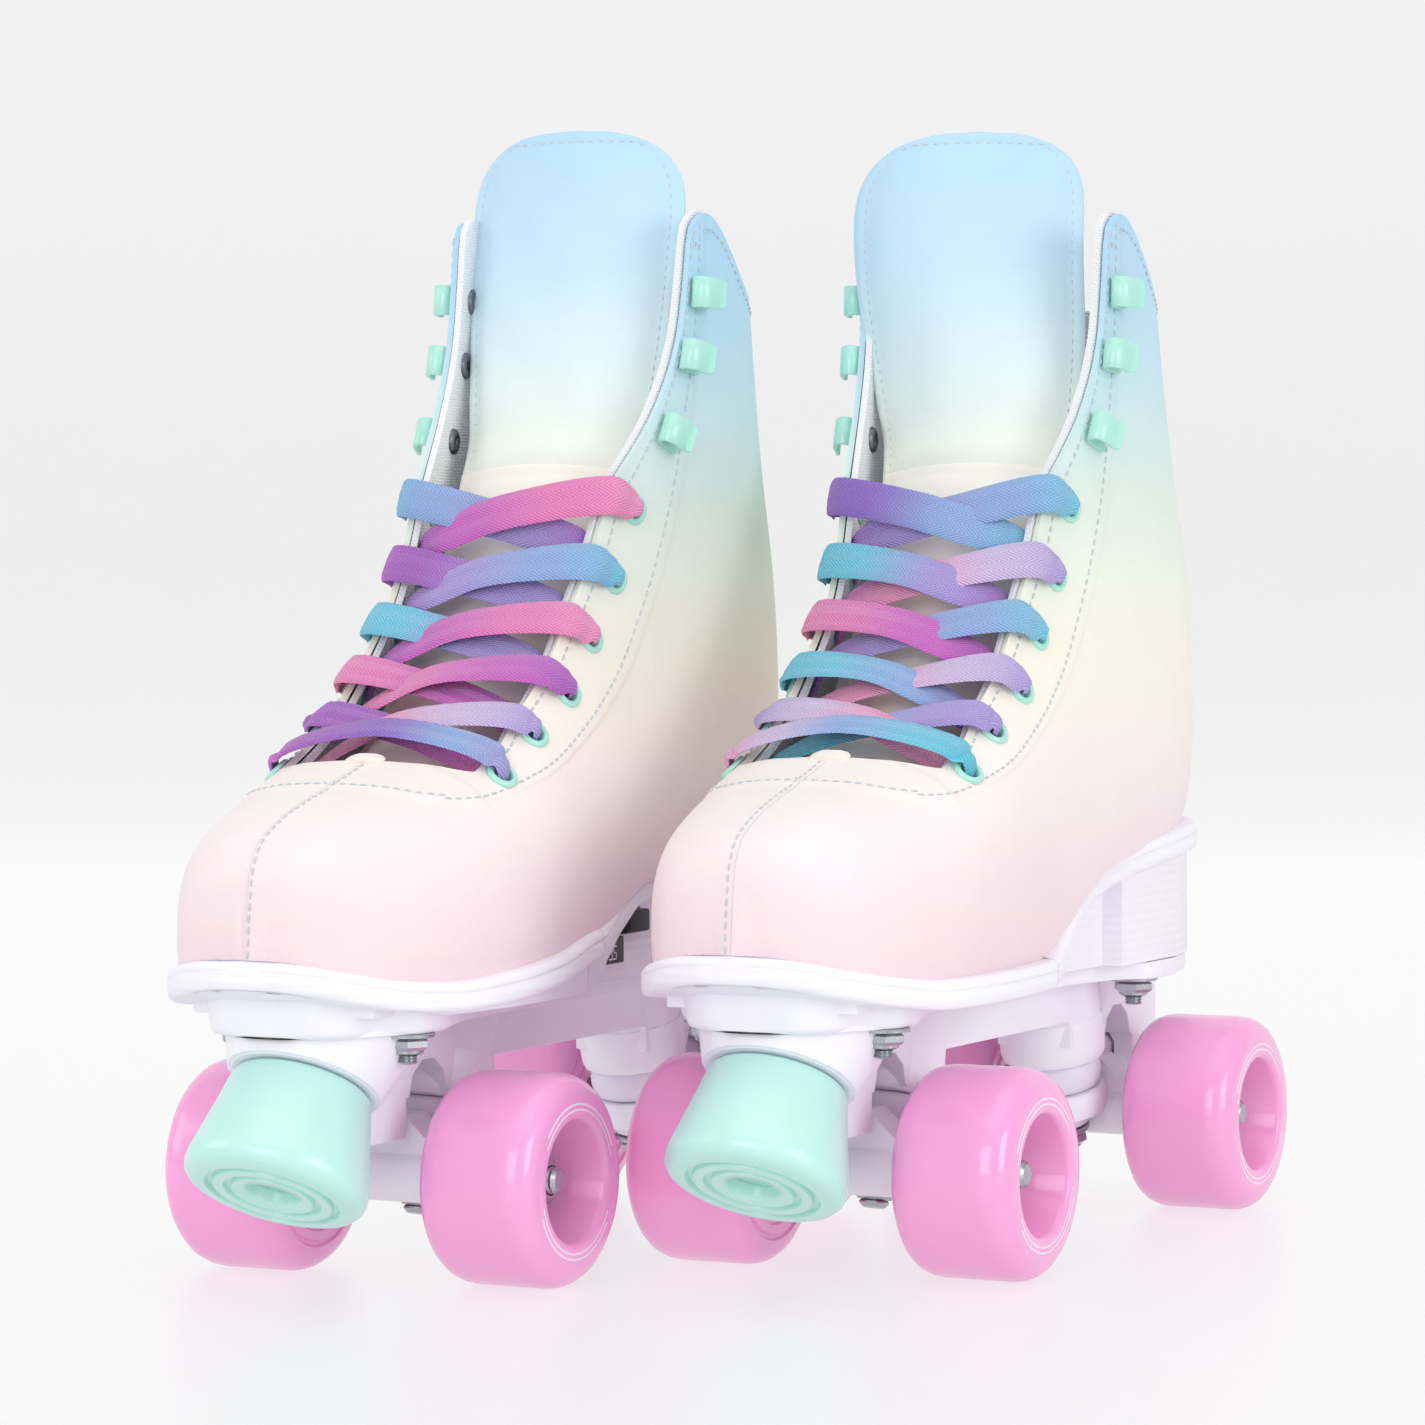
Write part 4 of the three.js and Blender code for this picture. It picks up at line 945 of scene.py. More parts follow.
# Tape along keys of (point, face normal, width, cup): rings of points with their dye and run.
def layTape(keys, dye, samples=46):
    points = [k[0] for k in keys]
    normals = [k[1] for k in keys]
    shape = [Vector((k[2], k[3], 0)) for k in keys]
    rings, marks = [], []
    travelled, before = 0, None
    for i in range(samples + 1):
        at = i * (len(keys) - 1) / samples
        centre = curveAt(points, at)
        tangent = (curveAt(points, min(at + 0.04, len(keys) - 1)) - curveAt(points,
                                                                            max(at - 0.04, 0))).normalized()
        index = min(int(at), len(keys) - 2)
        normal = normals[index].lerp(normals[index + 1], blendStep(0, 1, at - index))
        size = shape[index].lerp(shape[index + 1], blendStep(0, 1, at - index))
        across = tangent.cross(normal).normalized()
        normal = across.cross(tangent).normalized()
        travelled += (centre - before).length if before else 0
        before = centre
        ring = []
        for top in (1, -1):
            for t in (-1, -0.9, -0.6, -0.2, 0.2, 0.6, 0.9, 1)[::top]:
                cup = size.y * (1 - t * t) + 0.12 * size.y * math.sin(9 * t)
                lip = top * lace["thick"] / 2 * (1 - abs(t) ** 6) ** 0.5
                ring.append(centre + across * (t * size.x / 2) + normal * (cup + lip))
                marks.append((travelled, t * size.x / 2))
        rings.append(ring)
    marks = [(dyeAt(dye, 1 - along / travelled), along, across) for along, across in marks]
    return rings, marks, travelled


# One strand, from inside a low eyelet over the tongue to the next higher one on the other side.
def strandKeys(low, high, hand):
    (s0, a0), (s1, a1) = last["eyelets"][low], last["eyelets"][high]
    lowS, highS = mix(s0, s1, 0.2), mix(s0, s1, 0.9)
    w = lace["width"]
    under = offSkin(lowS, -hand * throatDegrees(lowS), lace["inside"])
    onto = offSkin(highS, hand * throatDegrees(highS), lace["lift"])
    rise = lastPoint(s1, a1) - lastPoint(s0, a0)
    ahead = Vector((0, -rise.z, rise.y)).normalized()
    over = lace["crossing"] * (1 if hand > 0 else -1)
    middle = under.lerp(onto, 0.5) + ahead * (lace["bow"] + over)
    n0, n1 = lastNormal(lowS, -hand * throatDegrees(lowS)), lastNormal(highS, hand * throatDegrees(highS))
    nEye = lastNormal(s1, hand * a1)
    eye = lastPoint(s1, hand * a1) + nEye * boot["raise"]
    near = offSkin(mix(highS, s1, 0.6), hand * mix(throatDegrees(highS), a1, 0.62), lace["standoff"] + 0.9)
    return [
        (offSkin(s0, -hand * a0, lace["inside"] + 0.6), lastNormal(s0, -hand * a0), 6, 0),
        (under, (n0 + ahead).normalized(), w * 0.9, 0.2),
        (under.lerp(middle, 0.5) + ahead * 1.6, ahead, w, 0.2),
        (middle, ahead, w, 0.2),
        (onto, (ahead + n1 * 1.4).normalized(), w, 0.3),
        (near, n1, w * 0.82, 0.8),
        (eye + nEye * 1.9 + (near - eye).normalized() * 1.6, nEye, 5.0, 1.0),
        (eye + nEye * 0.3, (nEye * 0.5 + (eye - near).normalized()).normalized(), 4.0, 0.9),
        (eye - nEye * 3.4, (eye - near).normalized(), 3.6, 0.8),
    ]


def makeLaces(side):
    tapes = []
    for row in range(1, len(last["eyelets"])):
        for hand in (-1, 1):
            tapes.append(layTape(strandKeys(row - 1, row, hand), laceRows[side][row][hand]))
    s, a = last["eyelets"][0]
    w = lace["width"]
    half = []
    for hand in (1, -1):
        n = lastNormal(s, hand * a)
        eye = lastPoint(s, hand * a) + n * boot["raise"]
        edge = offSkin(s + 0.05, hand * throatDegrees(s), lace["lift"] + 0.5)
        inward = (edge - eye).normalized()
        half.append([
            (eye - n * 3.4, -inward * hand, 3.6, 0.8), (eye + n * 0.3, (n - inward).normalized(), 4.0, 0.9),
            (eye + n * 1.9 + inward * 2, n, 5.2, 1.0), (eye.lerp(edge, 0.55) + n * 0.6, n, w * 0.8, 0.7),
            (edge, (n + Vector((0, -0.5, 0.9))).normalized(), w * 0.95, 0.4),
        ])
    crown = lastPoint(s, 0.01) + lastNormal(s, 0.01) * (lace["lift"] + 1.2)
    half[0][0] = (half[0][0][0], half[0][1][1], 3.6, 0.8)
    half[1][0] = (half[1][0][0], half[1][1][1], 3.6, 0.8)
    keys = half[1] + [(crown, Vector((0, -0.45, 0.9)), w * 0.9, 0.3)] + half[0][::-1]
    tapes.append(layTape(keys, laceRows[side][0][1], 60))
    parts, marks = [], []
    for rings, found, _ in tapes:
        parts.append(bridge(rings))
        marks += found
    piece = makePiece(side + "_laces", side, *joinParts(parts), laceTape, sharp=60)
    dye = piece.data.color_attributes.new("dye", "FLOAT_COLOR", "POINT")
    run = piece.data.attributes.new("run", "FLOAT_VECTOR", "POINT")
    for i, (tint, along, across) in enumerate(marks):
        dye.data[i].color = (*tint, 1)
        run.data[i].vector = (along, across, 0)
    attachStretching(piece, side, ("laces",))
    print(side, "lace on the boot", round(sum(t[2] for t in tapes)), "mm")


# A padded strip with a padded sky-blue top sewn over it.
tongue = {
    "path": [(-84, 117), (-66, 128), (-48, 141), (-33, 155), (-20, 171), (-8, 190), (1, 208), (9, 228),
             (18, 252), (26, 277), (30, 299)],
    "half": [20, 23, 24, 25, 25.5, 25.5, 27, 29.5, 31, 31.5, 31],
    "bow": 7,
    # how far each tongue's top stands off its line: sideways and ahead in mm, and turned in degrees
    "stray": {"right": (-4, -6, 4), "left": (4, -8, 24)}, "strayFrom": 196, "strayTo": 285,
    "foldFrom": 5.72, "foot": 5.98, "stitchIn": 3.2, "roundLast": 24, "roundness": 2.9,
    "bend": (200, 226),  # heights between which the top bends with its flap
}
tonguePath = [Vector((last["lean"] * blendStep(last["leanFrom"], last["leanTo"], z), y, z))
              for y, z in tongue["path"]]
tongueHalves = [Vector((h, 0, 0)) for h in tongue["half"]]
tongueTop = len(tonguePath) - 1


# A place on the tongue's line and the way its face looks.
def tongueFrame(position):
    up = curveAt(tonguePath, min(position + 0.05, tongueTop)) - curveAt(tonguePath, max(position - 0.05, 0))
    up.x = 0
    up.normalize()
    return curveAt(tonguePath, position), Vector((0, -up.z, up.y))


# Share of the full half width left near a rounded top.
def roundedOff(toTop):
    if toTop >= tongue["roundLast"]:
        return 1
    q = 1 - toTop / tongue["roundLast"]
    return max(1 - q ** tongue["roundness"], 0.0001) ** (1 / tongue["roundness"])


# Thin at the edge, dipped along the stitches, full in the middle.
def padThickness(fromEdge, full):
    return linearAt([(0, 0.7), (0.5, 1.7), (1.4, 2.5), (tongue["stitchIn"], 1.9), (6, 3.9), (10, 5.2),
                     (20, full)],
                    fromEdge)


# Pad between two positions on the tongue's line, and its surface for the stitching.
def makePad(name, side, low, high, material, roundTop, front, full, rows=72, columns=34):
    ends = [curveAt(tonguePath, low), curveAt(tonguePath, high)]
    rings = []

    def surface(position, share, level):
        at, ahead = tongueFrame(position)
        widest = curveAt(tongueHalves, position).x
        toTop = (ends[1] - at).length
        toLow = (at - ends[0]).length
        half = widest * roundedOff(toTop) if roundTop else widest
        x = share * half
        fromSide = half - abs(x)
        e = min(fromSide, toTop if not roundTop else 99, toLow)
        if roundTop:
            e = min(e, toTop * (1 - 0.35 * abs(share)))
        deep = front(position)
        thick = padThickness(max(e, 0), full) * mix(0.45, 1, blendStep(0, 9, toLow))
        wrinkle = 0.35 * math.sin(x * 0.21 + position * 3.1) * math.sin(position * 2.3 + 1) * blendStep(4,
                                                                                                        14, e)
        drop = tongue["bow"] * (x / widest) ** 2
        return at + Vector((x, 0, 0)) + ahead * (deep - drop + level * (thick / 2 + wrinkle))
    for r in range(rows + 1):
        share = r / rows
        if roundTop:
            share = 1 - (1 - share) ** 1.35
        position = mix(low, high, share)
        across = [-math.cos(math.pi * c / columns) for c in range(columns + 1)]
        rings.append([surface(position, t, 1) for t in across]
                     + [surface(position, t, -1) for t in across[-2:0:-1]])
    return makePiece(name, side, *bridge(rings), material, sharp=70), surface


# Each tongue's top leans and turns a little its own way.
def strayTop(piece, side):
    sideways, ahead, turn = tongue["stray"][side]
    low, high = tonguePath[6], tonguePath[tongueTop]
    for vertex in piece.data.vertices:
        z = vertex.co.z * 1000
        share = blendStep(tongue["strayFrom"], tongue["strayTo"], z)
        middle = toWorld(side, high.lerp(low, (high.z - z) / (high.z - low.z)))
        offset = vertex.co - middle
        a = math.radians(turn * share)
        vertex.co.x = middle.x + offset.x * math.cos(a) - offset.y * math.sin(a)
        vertex.co.y = middle.y + offset.x * math.sin(a) + offset.y * math.cos(a)
        vertex.co += Vector((skates[side]["hand"] * sideways * share, ahead * share, 0)) / 1000


def makeTongue(side):
    lower, _ = makePad(side + "_tongue_pad", side, 0, tongue["foot"], creamLeather, False, lambda p: 1.2, 6)
    attach(lower, side, "skate", ("tongue",))

    def front(position):
        return mix(1.0, -2.6, blendStep(tongue["foldFrom"], 6.7, position))
    upper, surface = makePad(side + "_tongue_top_pad", side, tongue["foldFrom"], tongueTop, tongueLeather,
                             True, front, 6.4)

    def facing(position, share):
        p = surface(position, share, 1)
        return p, (p - surface(position, share, -1)).normalized()
    line = []
    for k in range(200):
        position = mix(tongue["foldFrom"] + 0.12, tongueTop - 0.14, k / 199)
        toTop = (curveAt(tonguePath, tongueTop) - curveAt(tonguePath, position)).length
        half = curveAt(tongueHalves, position).x * roundedOff(toTop)
        line.append((position, max(1 - tongue["stitchIn"] / half, 0.05)))
    leftLine = [facing(p, -t) for p, t in line]
    rightLine = [facing(p, t) for p, t in line]
    position, share = line[-1]
    over = [facing(position, mix(-share, share, k / 20)) for k in range(21)]
    hem = [facing(tongue["foldFrom"] + 0.17, mix(-0.9, 0.9, k / 40)) for k in range(41)]
    parts = sewLine(leftLine + over + rightLine[::-1]) + sewLine(hem)
    sewn = makePiece(side + "_tongue_stitching", side, *joinParts(parts), thread, sharp=80)
    fold = [toWorld(side, (0, 0, z)) for z in tongue["bend"]]
    for piece in (upper, sewn):
        strayTop(piece, side)
        markPlaces(piece, side)
        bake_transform(piece, side + "_skate", side + "_tongue_flap", start=fold[0], end=fold[1])
    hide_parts(side + "_tongue_top")


# A hard part kept in its drawn shape, with edges eased by width and its own finish.
def refine(side, node, body, material, width, shape=None):
    source = nodes[side + "_" + node]
    mesh = source.data.copy()
    mesh.transform(source.matrix_world)
    mesh.materials.clear()
    mesh.materials.append(material)
    work = bmesh.new()
    work.from_mesh(mesh)
    bmesh.ops.remove_doubles(work, verts=work.verts, dist=0.00001)
    bmesh.ops.dissolve_limit(work, angle_limit=math.radians(1.5), verts=work.verts, edges=work.edges)
    if shape:
        for v in work.verts:
            v.co = toWorld(side, shape(onSkate(side, v.co)))
    work.to_mesh(mesh)
    work.free()
    piece = bpy.data.objects.new(side + "_" + node + "_finished", mesh)
    bpy.context.scene.collection.objects.link(piece)
    modify(piece, "BEVEL", width=width / 1000, segments=3, limit_method="ANGLE", angle_limit=math.radians(38))
    settle(piece, 32)
    attach(piece, side, body, (node,))


# Parts round each kingpin as (radius, height) along it, from its middle.
kingpin = {
    "y": 59, "z": 31, "tilt": 0.242, "rise": 0.970,
    "ring": [(4.6, -2.8), (12.4, -3.3), (13.3, -2.6), (13.7, -1), (13.7, 1.6), (13.2, 2.9), (12.2, 3.5),
             (6.7, 3.5), (4.6, 3)],
    "upper": [(4.4, 3.85), (11, 3.85), (11.8, 4.3), (12.3, 5.4), (12.75, 7), (12.8, 8.1), (12.75, 9.2),
              (12.3, 10.9), (11.8, 11.9), (11, 12.35), (4.4, 12.35)],
    "lower": [(4.4, -7.8), (7, -7.8), (7.8, -7.2), (8.4, -4), (8.2, -1.2), (7.4, 0.1), (4.4, 0.1)],
    "washer": [(4.3, -8.15), (7.6, -8.15), (8.1, -8.5), (8.1, -9.2), (7.6, -9.6), (4.3, -9.6)],
    "boss": [(4.2, 12.5), (12.8, 12.5), (13.9, 12.9), (14.5, 13.8), (14.7, 16), (14.7, 25), (4.2, 25)],
}
wheel = {
    "x": 37.5, "y": 76, "z": 27,
    # (radius, height) from the hub's outer mouth over the tread to the inner side
    "profile": [(4.2, 2.3), (11.6, 2.3), (12.1, 3.0), (15.3, 14.6), (15.6, 15.6), (16.1, 16.2), (17, 16.4),
                (21.2, 16.2), (23.2, 15.7), (24.9, 14.6), (26.1, 13), (26.75, 11.1), (27, 9), (27, 4),
                (27, -4), (27, -9), (26.75, -11.1), (26.1, -13), (24.9, -14.6), (23.2, -15.7),
                (20.6, -16.2), (20.1, -15.6), (19.3, -15.6), (18.8, -16.4), (16.6, -16.4), (16.1, -15.7),
                (15.3, -15.7), (14.8, -16.4), (12.3, -16.4), (11.6, -15.8), (11.4, -9.4), (4.2, -9.4)],
    "sides": 96,
    # printed arcs: radius and width in mm, from and to in degrees
    "print": [(18, 0.5, 195, 330), (19.4, 0.5, 202, 322), (18, 0.5, 15, 148), (19.4, 0.5, 22, 140)],
    # the bearings: inner race, shield, outer race, and all three of the inner one
    "races": [[(4.05, 2.72), (6.1, 2.72), (6.4, 2.5), (6.4, 1.4), (4.05, 1.4)],
              [(6.5, 2.35), (9.2, 2.35), (9.2, 1.4), (6.5, 1.4)],
              [(9.3, 2.6), (9.6, 2.75), (11, 2.75), (11.3, 2.5), (11.3, 1.4), (9.3, 1.4)],
              [(4.05, -9.6), (6.1, -9.6), (6.4, -9.8), (9.2, -9.8), (9.5, -10), (11, -10), (11.3, -9.6),
               (11.3, -8.8), (4.05, -8.8)]],
    "spacer": [(3.6, -17.2), (6, -17.2), (6.2, -10), (3.6, -10)],
    "axle": 3.5, "thread": (-47.5, -38),
}


# Nut by its half width over the flats and its two heights, with the nylon ring's crown on top.
def hexNut(place, half, low, high, crown, bore=3.7):
    corner = half / math.cos(math.pi / 6)
    body = turned([(bore, low), (half - 0.4, low), (corner, low + 0.9), (corner, high - 0.9),
                   (half - 0.2, high), (bore, high)], 6, place)
    top = turned([(bore, high - 0.2), (half - 0.9, high - 0.2), (half - 1, high + crown * 0.6),
                  (half - 1.9, high + crown), (bore + 0.2, high + crown)], 32, place)
    return [body, top]


# Profile of a thread between two heights.
def threads(low, high, radius, pitch=1.0):
    line = []
    while low < high:
        line += [(radius, low), (radius - 0.42, low + pitch / 2)]
        low += pitch
    return line


def makeWheels(side, end, hand):
    y = hand * wheel["y"]
    axle = onAxis((0, y, wheel["z"]), (1, 0, 0))
    half = [(0, -48.8), (2.6, -48.8), (wheel["axle"], -47.9)] + threads(*wheel["thread"], wheel["axle"])
    half.append((wheel["axle"], -37))
    rod = half + [(r, -h) for r, h in reversed(half)]
    metal = [turned(rod, 32, axle, closed=False)]
    for which, way in (("inner", 1), ("outer", -1)):
        place = onAxis((way * wheel["x"], y, wheel["z"]), (way, 0, 0))
        tyre = makePiece(f"{side}_{end}_{which}_tyre", side, *turned(wheel["profile"], wheel["sides"], place),
                         wheelUrethane, sharp=40)
        attach(tyre, side, f"{end}_{which}_wheel", (f"{end}_{which}_wheel",))
        rings = []
        for radius, width, first, final in wheel["print"]:
            strip = []
            for k in range(41):
                a = math.radians(mix(first, final, k / 40))
                strip.append([place(Vector((r * math.cos(a), r * math.sin(a), h))) for r, h in
                              ((radius - width / 2, 16), (radius - width / 2, 16.39),
                               (radius + width / 2, 16.35), (radius + width / 2, 16))])
            rings.append(bridge(strip))
        marks = makePiece(f"{side}_{end}_{which}_wheel_print", side, *joinParts(rings), printWhite)
        attach(marks, side, f"{end}_{which}_wheel")
        races = [turned(race, 48, place) for race in wheel["races"]]
        bearing = makePiece(f"{side}_{end}_{which}_bearing", side, *joinParts(races), bearingSteel, sharp=30)
        attach(bearing, side, f"{end}_{which}_wheel")
        metal += hexNut(place, 6.4, 2.8, 7.2, 1.7)
        metal.append(turned(wheel["spacer"], 24, place))
    piece = makePiece(f"{side}_{end}_axle_and_nuts", side, *joinParts(metal), zincSteel, sharp=30)
    attach(piece, side, end + "_truck", (end + "_axle",))


def makeTruck(side, end, hand):
    axis = Vector((0, -hand * kingpin["tilt"], kingpin["rise"]))
    origin = (0, hand * kingpin["y"], kingpin["z"])
    place = onAxis(origin, axis)
    refine(side, end + "_hanger", end + "_truck", plateNylon, 1.1)
    piece = makePiece(f"{side}_{end}_hanger_ring", side, *turned(kingpin["ring"], 72, place), plateNylon,
                      sharp=30)
    attach(piece, side, end + "_truck")
    for name in ("upper", "lower"):
        profile = kingpin[name]
        piece = makePiece(f"{side}_{end}_{name}_bushing", side, *turned(profile, 64, place), cushionRubber,
                          sharp=40)
        markPlaces(piece, side)
        heights = (profile[0][1], profile[4][1] + 4) if name == "upper" else (profile[5][1], profile[0][1])
        first, final = (place(Vector((0, 0, h))) for h in heights)
        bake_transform(piece, f"{side}_{end}_truck", f"{side}_skate", start=toWorld(side, first),
                 end=toWorld(side, final))
        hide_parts(f"{side}_{end}_{name}_cushion")
    pin = [(0, -17), (2.8, -17), (3.9, -16)] + threads(-15.6, -9, 3.95) + [(3.95, -8), (3.95, 29.5),
                                                                           (0, 29.5)]
    piece = makePiece(f"{side}_{end}_kingpin_bolt", side, *turned(pin, 32, place, closed=False), zincSteel,
                      sharp=30)
    attach(piece, side, "skate", (end + "_kingpin",))
    nut = [turned(kingpin["washer"], 40, place)]
    nut += hexNut(lambda p: place(Vector((p[0], p[1], -p[2]))), 6.4, 9.7, 13.2, 1.5, 4.2)
    piece = makePiece(f"{side}_{end}_kingpin_locknut", side, *joinParts(nut), zincSteel, sharp=30)
    attach(piece, side, "skate", (end + "_kingpin_nut",))
    piece = makePiece(f"{side}_{end}_boss", side, *turned(kingpin["boss"], 64, place), plateNylon, sharp=35)
    attach(piece, side, "skate")


# A rubber cone on a threaded stem, screwed into the plate's front housing.
toeStop = {
    "origin": (0, -118, 53), "axis": (0, 0.5, 0.866),
    "cone": [(6.9, -29.3), (7.5, -29.9), (10.3, -30), (10.7, -28.9), (12.1, -28.9), (12.5, -30), (15, -30),
             (15.4, -28.8), (16.8, -28.8), (17.2, -30), (19.4, -29.9), (21.4, -29.2), (22.7, -27.8),
             (23.1, -26), (22.9, -23.8), (22, -20), (19.6, -10), (18.2, -3.6), (17.6, -1.4), (16.4, -0.35),
             (4.2, -0.3)],
    "well": [(3.4, -19.5), (5.2, -19.8), (5.5, -21), (6.5, -28.6)],
    "housing": [(8.5, 0.1), (18.3, 0.1), (19.4, 0.9), (20, 2.2), (22.4, 9.5), (24.6, 17.4), (26.6, 25.2),
                (28.4, 33), (8.5, 33)],
}


def makeToeStop(side):
    place = onAxis(toeStop["origin"], toeStop["axis"])
    profile = toeStop["cone"] + toeStop["well"]
    piece = makePiece(side + "_toe_stop_rubber", side, *turned(profile, 96, place), stopRubber, sharp=50)
    attach(piece, side, "skate", ("toe_stop",))
    cone = makePiece(side + "_stop_housing", side, *turned(toeStop["housing"], 96, place), plateNylon,
                     sharp=35)
    for vertex in cone.data.vertices:  # the housing ends under the sole
        y = (vertex.co.y - skates[side]["y"]) * 1000
        vertex.co.z = min(vertex.co.z, (soleTop(y) - sole["thick"] + 0.4) / 1000)
    attach(cone, side, "skate")


# Bolts through the plate's flange into the sole.
flangeBolt = {"x": (-24, 24), "y": (-108, 56), "z": 65.9,
              "washer": [(2.6, -0.1), (6.6, -0.1), (6.8, 0.2), (6.7, 0.9), (2.6, 0.9)]}


def makeFlangeBolts(side):
    parts = []
    for x in flangeBolt["x"]:
        for y in flangeBolt["y"]:
            place = onAxis((x, y, flangeBolt["z"]), (0, 0, -1))
            parts.append(turned(flangeBolt["washer"], 32, place))
            parts += hexNut(place, 4.9, 0.9, 4.2, 1.1, 2.3)
            tip = [(0, 0), (2.4, 0)] + threads(4, 7.4, 2.45, 0.8) + [(1.6, 7.7), (0, 7.7)]
            parts.append(turned(tip, 20, place, closed=False))
    piece = makePiece(side + "_flange_nuts", side, *joinParts(parts), zincSteel, sharp=30)
    attach(piece, side, "skate")


# Half of an outline as close-set points (x, y), cut between two places along the skate.
def outlineSpots(outline, first, final):
    line = [Vector((x, y, 0)) for x, y in outline]
    dense = [curveAt(line, k / 8) for k in range(8 * len(line) - 7)]
    dense = [(max(p.x, 0), p.y) for p in dense]
    spots = [p for p in dense if first < p[1] < final]
    for place, at in ((first, 0), (final, len(spots))):
        for p, q in zip(dense, dense[1:]):
            if p[1] <= place < q[1]:
                spot = (mix(p[0], q[0], (place - p[1]) / (q[1] - p[1])), place)
                spots.insert(0 if at == 0 else len(spots), spot)
    return spots


# Slab with a shaped edge: each row of its section is a share of the half width, mm ahead of the edge
# and a function for the height.
def shapedSlab(spots, section):
    first, final = spots[0][1], spots[-1][1]
    rings = []
    for share, ahead, height in section:
        half = []
        for k, (x, y) in enumerate(spots):
            p, q = spots[max(k - 1, 0)], spots[min(k + 1, len(spots) - 1)]
            way = Vector((q[0] - p[0], q[1] - p[1])).normalized()
            half.append((max(x + way.y * ahead, 0) * share, min(max(y - way.x * ahead, first), final)))
        ring = [Vector((x, y, height(x, y))) for x, y in half]
        ring += [Vector((-x, y, height(-x, y))) for x, y in reversed(half)]
        rings.append(ring)
    return bridge(rings, caps=False)


def makeSoleRim(side, name, first, final, body):
    under = sole["edge"][-1][1]
    section = [(share, 0, lambda x, y: soleTop(y, x)) for share in (0, 0.3, 0.6, 0.85)]
    section += [(1, ahead, lambda x, y, drop=drop: soleTop(y, x) - drop) for ahead, drop in sole["edge"]]
    section += [(share, 0, lambda x, y: soleTop(y, x) - under) for share in (0.85, 0.6, 0.3, 0)]
    piece = makePiece(f"{side}_{name}_rim", side,
                      *shapedSlab(outlineSpots(sole["outline"], first, final), section), soleFoam, sharp=50)
    attach(piece, side, body)


# The sole's lower parts keep inside its rim.
def tuckedUnderRim(point):
    half = linearAt([(y, x) for x, y in sole["outline"]], point.y)
    limit = max(half - mix(4, 1, blendStep(10, 34, point.y)), 1)
    point.x = min(max(point.x, -limit), limit)
    point.y = min(max(point.y, -140), 105)
    point.z = min(point.z, soleTop(point.y, point.x) - 1)
    return point


deck = {
    "outline": [(0, -136), (12, -134.5), (19, -129.5), (22.5, -121), (26.5, -115.5), (30, -111), (30, -101),
                (26.5, -90), (22.5, -76), (20.5, -60), (19.5, -44)],
    "low": 65.8,
}


def tuckedUnderDeck(point):
    if point.z > 65 and point.y < -85:
        limit = linearAt([(y, x) for x, y in deck["outline"]], point.y) - 0.4
        point.x = min(max(point.x, -limit), limit)
    return point


# The plate's front flange rises to meet the sole.
def makeDeck(side):
    section = [(share, ahead, lambda x, y, rise=rise: deck["low"] + rise)
               for share, ahead, rise in ((0, 0, 0), (0.6, 0, 0), (1, -1.8, 0), (1, -0.3, 0.5),
                                          (1, 0.5, 1.8))]
    section += [(share, ahead, lambda x, y: soleTop(y, x) - 7) for share,
                ahead in ((1, 1.3), (0.6, 0), (0, 0))]
    piece = makePiece(side + "_plate_deck", side,
                      *shapedSlab(outlineSpots(deck["outline"], -135.9, -44.1), section), plateNylon,
                      sharp=40)
    attach(piece, side, "skate")


# Size label on the arch: white numbers and red pointers on a black plate.
label = {"y": (-27, 1), "z": (75.3, 82.3), "x": 26.2, "numbers": "373635", "digit": (1.5, 3.4),
         "stroke": 0.42,
         "gap": 7.6, "pair": 2.3, "ink": (-0.1, 0.08)}
# each digit's strokes, from (x, y) to (x, y) in shares of its width and height
digits = {"3": [(0, 1, 1, 1), (1, 1, 1, 0), (0, 0, 1, 0), (0.3, 0.5, 1, 0.5)],
          "5": [(1, 1, 0, 1), (0, 1, 0, 0.5), (0, 0.5, 1, 0.5), (1, 0.5, 1, 0), (1, 0, 0, 0)],
          "6": [(1, 1, 0, 1), (0, 1, 0, 0), (0, 0, 1, 0), (1, 0, 1, 0.5), (1, 0.5, 0, 0.5)],
          "7": [(0, 1, 1, 1), (1, 1, 0.4, 0)]}


def makeLabel(side):
    hand = skates[side]["hand"]
    (y0, y1), (z0, z1), x = label["y"], label["z"], label["x"]
    corners = ((y0, z0), (y1, z0), (y1, z1), (y0, z1))
    backing = makePiece(side + "_size_label", side,
                        *bridge([[Vector((h, y, z)) for y, z in corners] for h in (x - 2, x)]), blackPlastic)
    modify(backing, "BEVEL", width=0.0003, segments=2)
    settle(backing)
    attach(backing, side, "skate")
    strokes, pointers = [], []
    wide, tall = label["digit"]
    middle = (y0 + y1) / 2
    for i, number in enumerate(label["numbers"]):
        start = (i // 2 - 1) * label["gap"] + (i % 2) * label["pair"] - 1.9
        for stroke in digits[number]:
            p, q = (Vector((0, hand * (start + a * wide), (z0 + z1) / 2 - 0.6 + b * tall - tall / 2))
                    for a, b in (stroke[:2], stroke[2:]))
            way = (q - p).normalized() * label["stroke"] / 2
            aside = Vector((0, -way.z, way.y))
            corners = (p - way - aside, q + way - aside, q + way + aside, p - way + aside)
            strokes.append(bridge([[Vector((x + h, middle, 0)) + r for r in corners] for h in label["ink"]]))
    for i in range(3):
        at = middle + hand * (i - 1) * label["gap"]
        tip = [Vector((0, at - 1, z1 - 0.5)), Vector((0, at + 1, z1 - 0.5)), Vector((0, at, z1 - 1.9))]
        pointers.append(bridge([[v + Vector((x + h, 0, 0)) for v in tip] for h in label["ink"]]))
    attach(makePiece(side + "_size_numbers", side, *joinParts(strokes), labelInk), side, "skate")
    attach(makePiece(side + "_size_pointers", side, *joinParts(pointers), redInk), side, "skate")


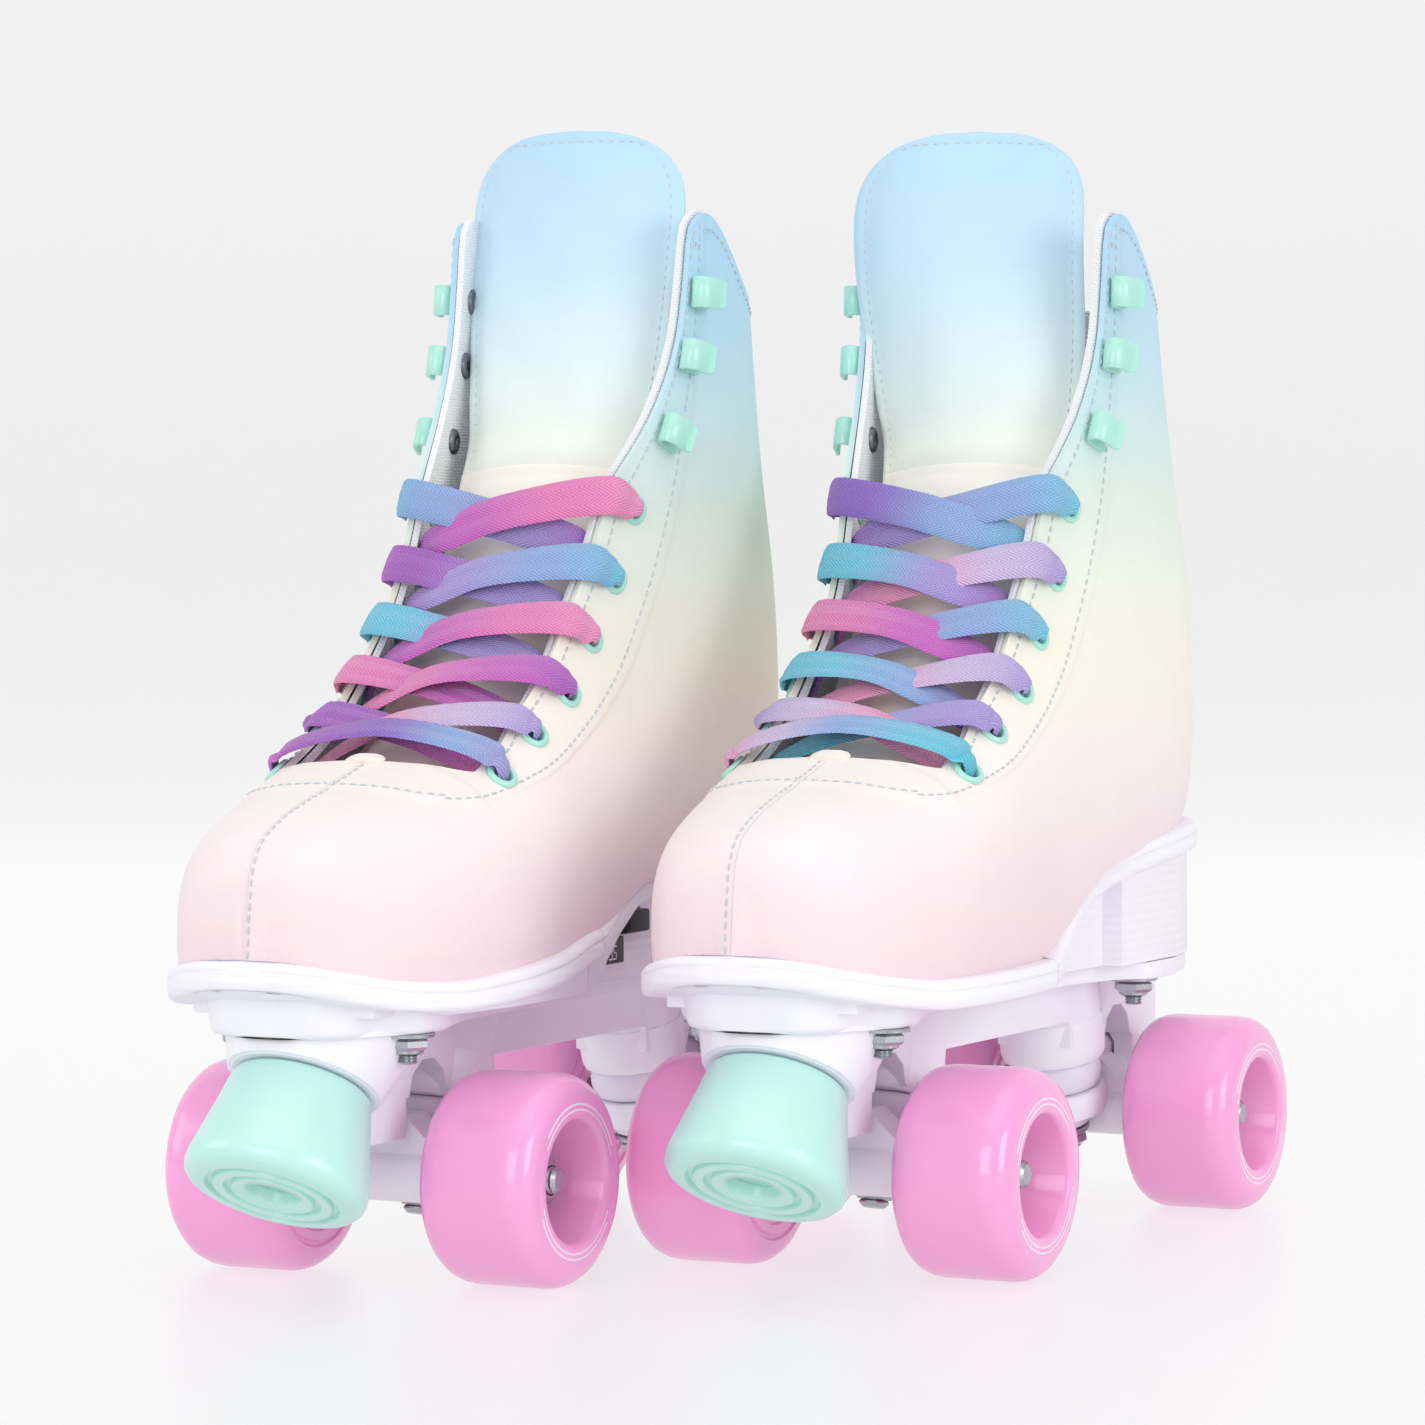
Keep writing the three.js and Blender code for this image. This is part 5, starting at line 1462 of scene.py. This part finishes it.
def makeBase(side):
    makeLabel(side)
    makeSoleRim(side, "toe", -145.9, sole["split"] - sole["splitGap"], "toe")
    makeSoleRim(side, "heel", sole["split"] + sole["splitGap"], 106.9, "skate")
    makeDeck(side)
    refine(side, "toe_sole", "toe", soleFoam, 0.8, shape=tuckedUnderRim)
    refine(side, "heel_sole", "skate", soleFoam, 0.8, shape=tuckedUnderRim)
    refine(side, "plate", "skate", plateNylon, 0.7, shape=tuckedUnderDeck)
    refine(side, "insole", "skate", insoleCloth, 1.2)
    refine(side, "size_button", "button", blackPlastic, 0.8)
    refine(side, "toe_stop_bolt", "skate", mintEnamel, 0.3)


for side in skates:
    makeBoot(side)
    sewBoot(side)
    makeThroatTab(side)
    makeEyelets(side)
    makeHooks(side)
    makeLaces(side)
    makeTongue(side)
    print(side, "boot made")
    makeBase(side)
    makeToeStop(side)
    makeFlangeBolts(side)
    for end, hand in (("front", -1), ("rear", 1)):
        makeTruck(side, end, hand)
        makeWheels(side, end, hand)
    print(side, "base made")

# One pale sweep of paper under and behind the pair; sizes in metres along the camera's heading.
studio = {"near": -2.5, "far": 1.6, "radius": 1.4, "height": 4, "half": 5, "world": 0.7}
# Matt coated paper: an even, almost shadowless white that glows a little with the room's light.
paper, tree, shader = newMaterial("matt_paper_sweep", Roughness=0.38, Specular_IOR_Level=0.35,
                                  Emission_Strength=0.78)
height = add(tree, "SeparateXYZ", {}, {}, {0: (add(tree, "TexCoord"), "Object")})
glow = ramp(tree, (height, "Z"), [(0, "#eaeaea"), (0.6, "#f9f9f9")], 0, 0.6)
tree.links.new(glow.outputs["Color"], shader.inputs["Emission Color"])
fibre = add(tree, "TexNoise", {}, {"Scale": 1 / 60, "Detail": 3}, {"Vector": (millimetres(tree), 0)})
tint = add(tree, "Mix", {"data_type": "RGBA"}, {"A": colour("#707071"), "B": colour("#737374")},
           {"Factor": (fibre, "Fac")})
tree.links.new(tint.outputs["Result"], shader.inputs["Base Color"])
acrossSweep = Vector((flat.y, -flat.x, 0))
profile = [(studio["near"], 0), (studio["far"], 0)]
profile += [(studio["far"] + studio["radius"] * math.sin(a), studio["radius"] * (1 - math.cos(a)))
            for a in (math.radians(5 * k) for k in range(1, 19))]
profile.append((studio["far"] + studio["radius"], studio["height"]))
points = [flat * d + acrossSweep * (studio["half"] * e) + Vector((0, 0, h)) for d,
          h in profile for e in (-1, 1)]
mesh = bpy.data.meshes.new("floor")
mesh.from_pydata(points, [], [(2 * k, 2 * k + 1, 2 * k + 3, 2 * k + 2) for k in range(len(profile) - 1)])
mesh.shade_smooth()
mesh.materials.append(paper)
floor = bpy.data.objects.new("floor", mesh)
bpy.context.scene.collection.objects.link(floor)

world = bpy.data.worlds.new("studio")
world.use_nodes = True
background = world.node_tree.nodes["Background"]
background.inputs["Color"].default_value = colour("#f4f4f6")
background.inputs["Strength"].default_value = studio["world"]
bpy.context.scene.world = world
bpy.context.scene.view_settings.view_transform = "Standard"
# place, target, size in metres and power in watts
lights = {
    "overhead": ((0.2, -0.3, 1.6), (0, 0, 0.1), 1.5, 5),
    "front": ((0.3, -2.0, 0.75), (0, 0, 0.1), 1.1, 10),
    "left": ((-1.6, -1.0, 0.8), (0, 0, 0.12), 1.0, 5),
    "right": ((1.8, -0.4, 0.6), (0, 0, 0.12), 0.9, 9),
}
for name, (spot, target, size, power) in lights.items():
    lampData = bpy.data.lights.new(name, "AREA")
    lampData.size = size
    lampData.energy = power
    lamp = bpy.data.objects.new(name, lampData)
    lamp.location = spot
    lamp.rotation_euler = (Vector(target) - Vector(spot)).to_track_quat("-Z", "Y").to_euler()
    bpy.context.scene.collection.objects.link(lamp)
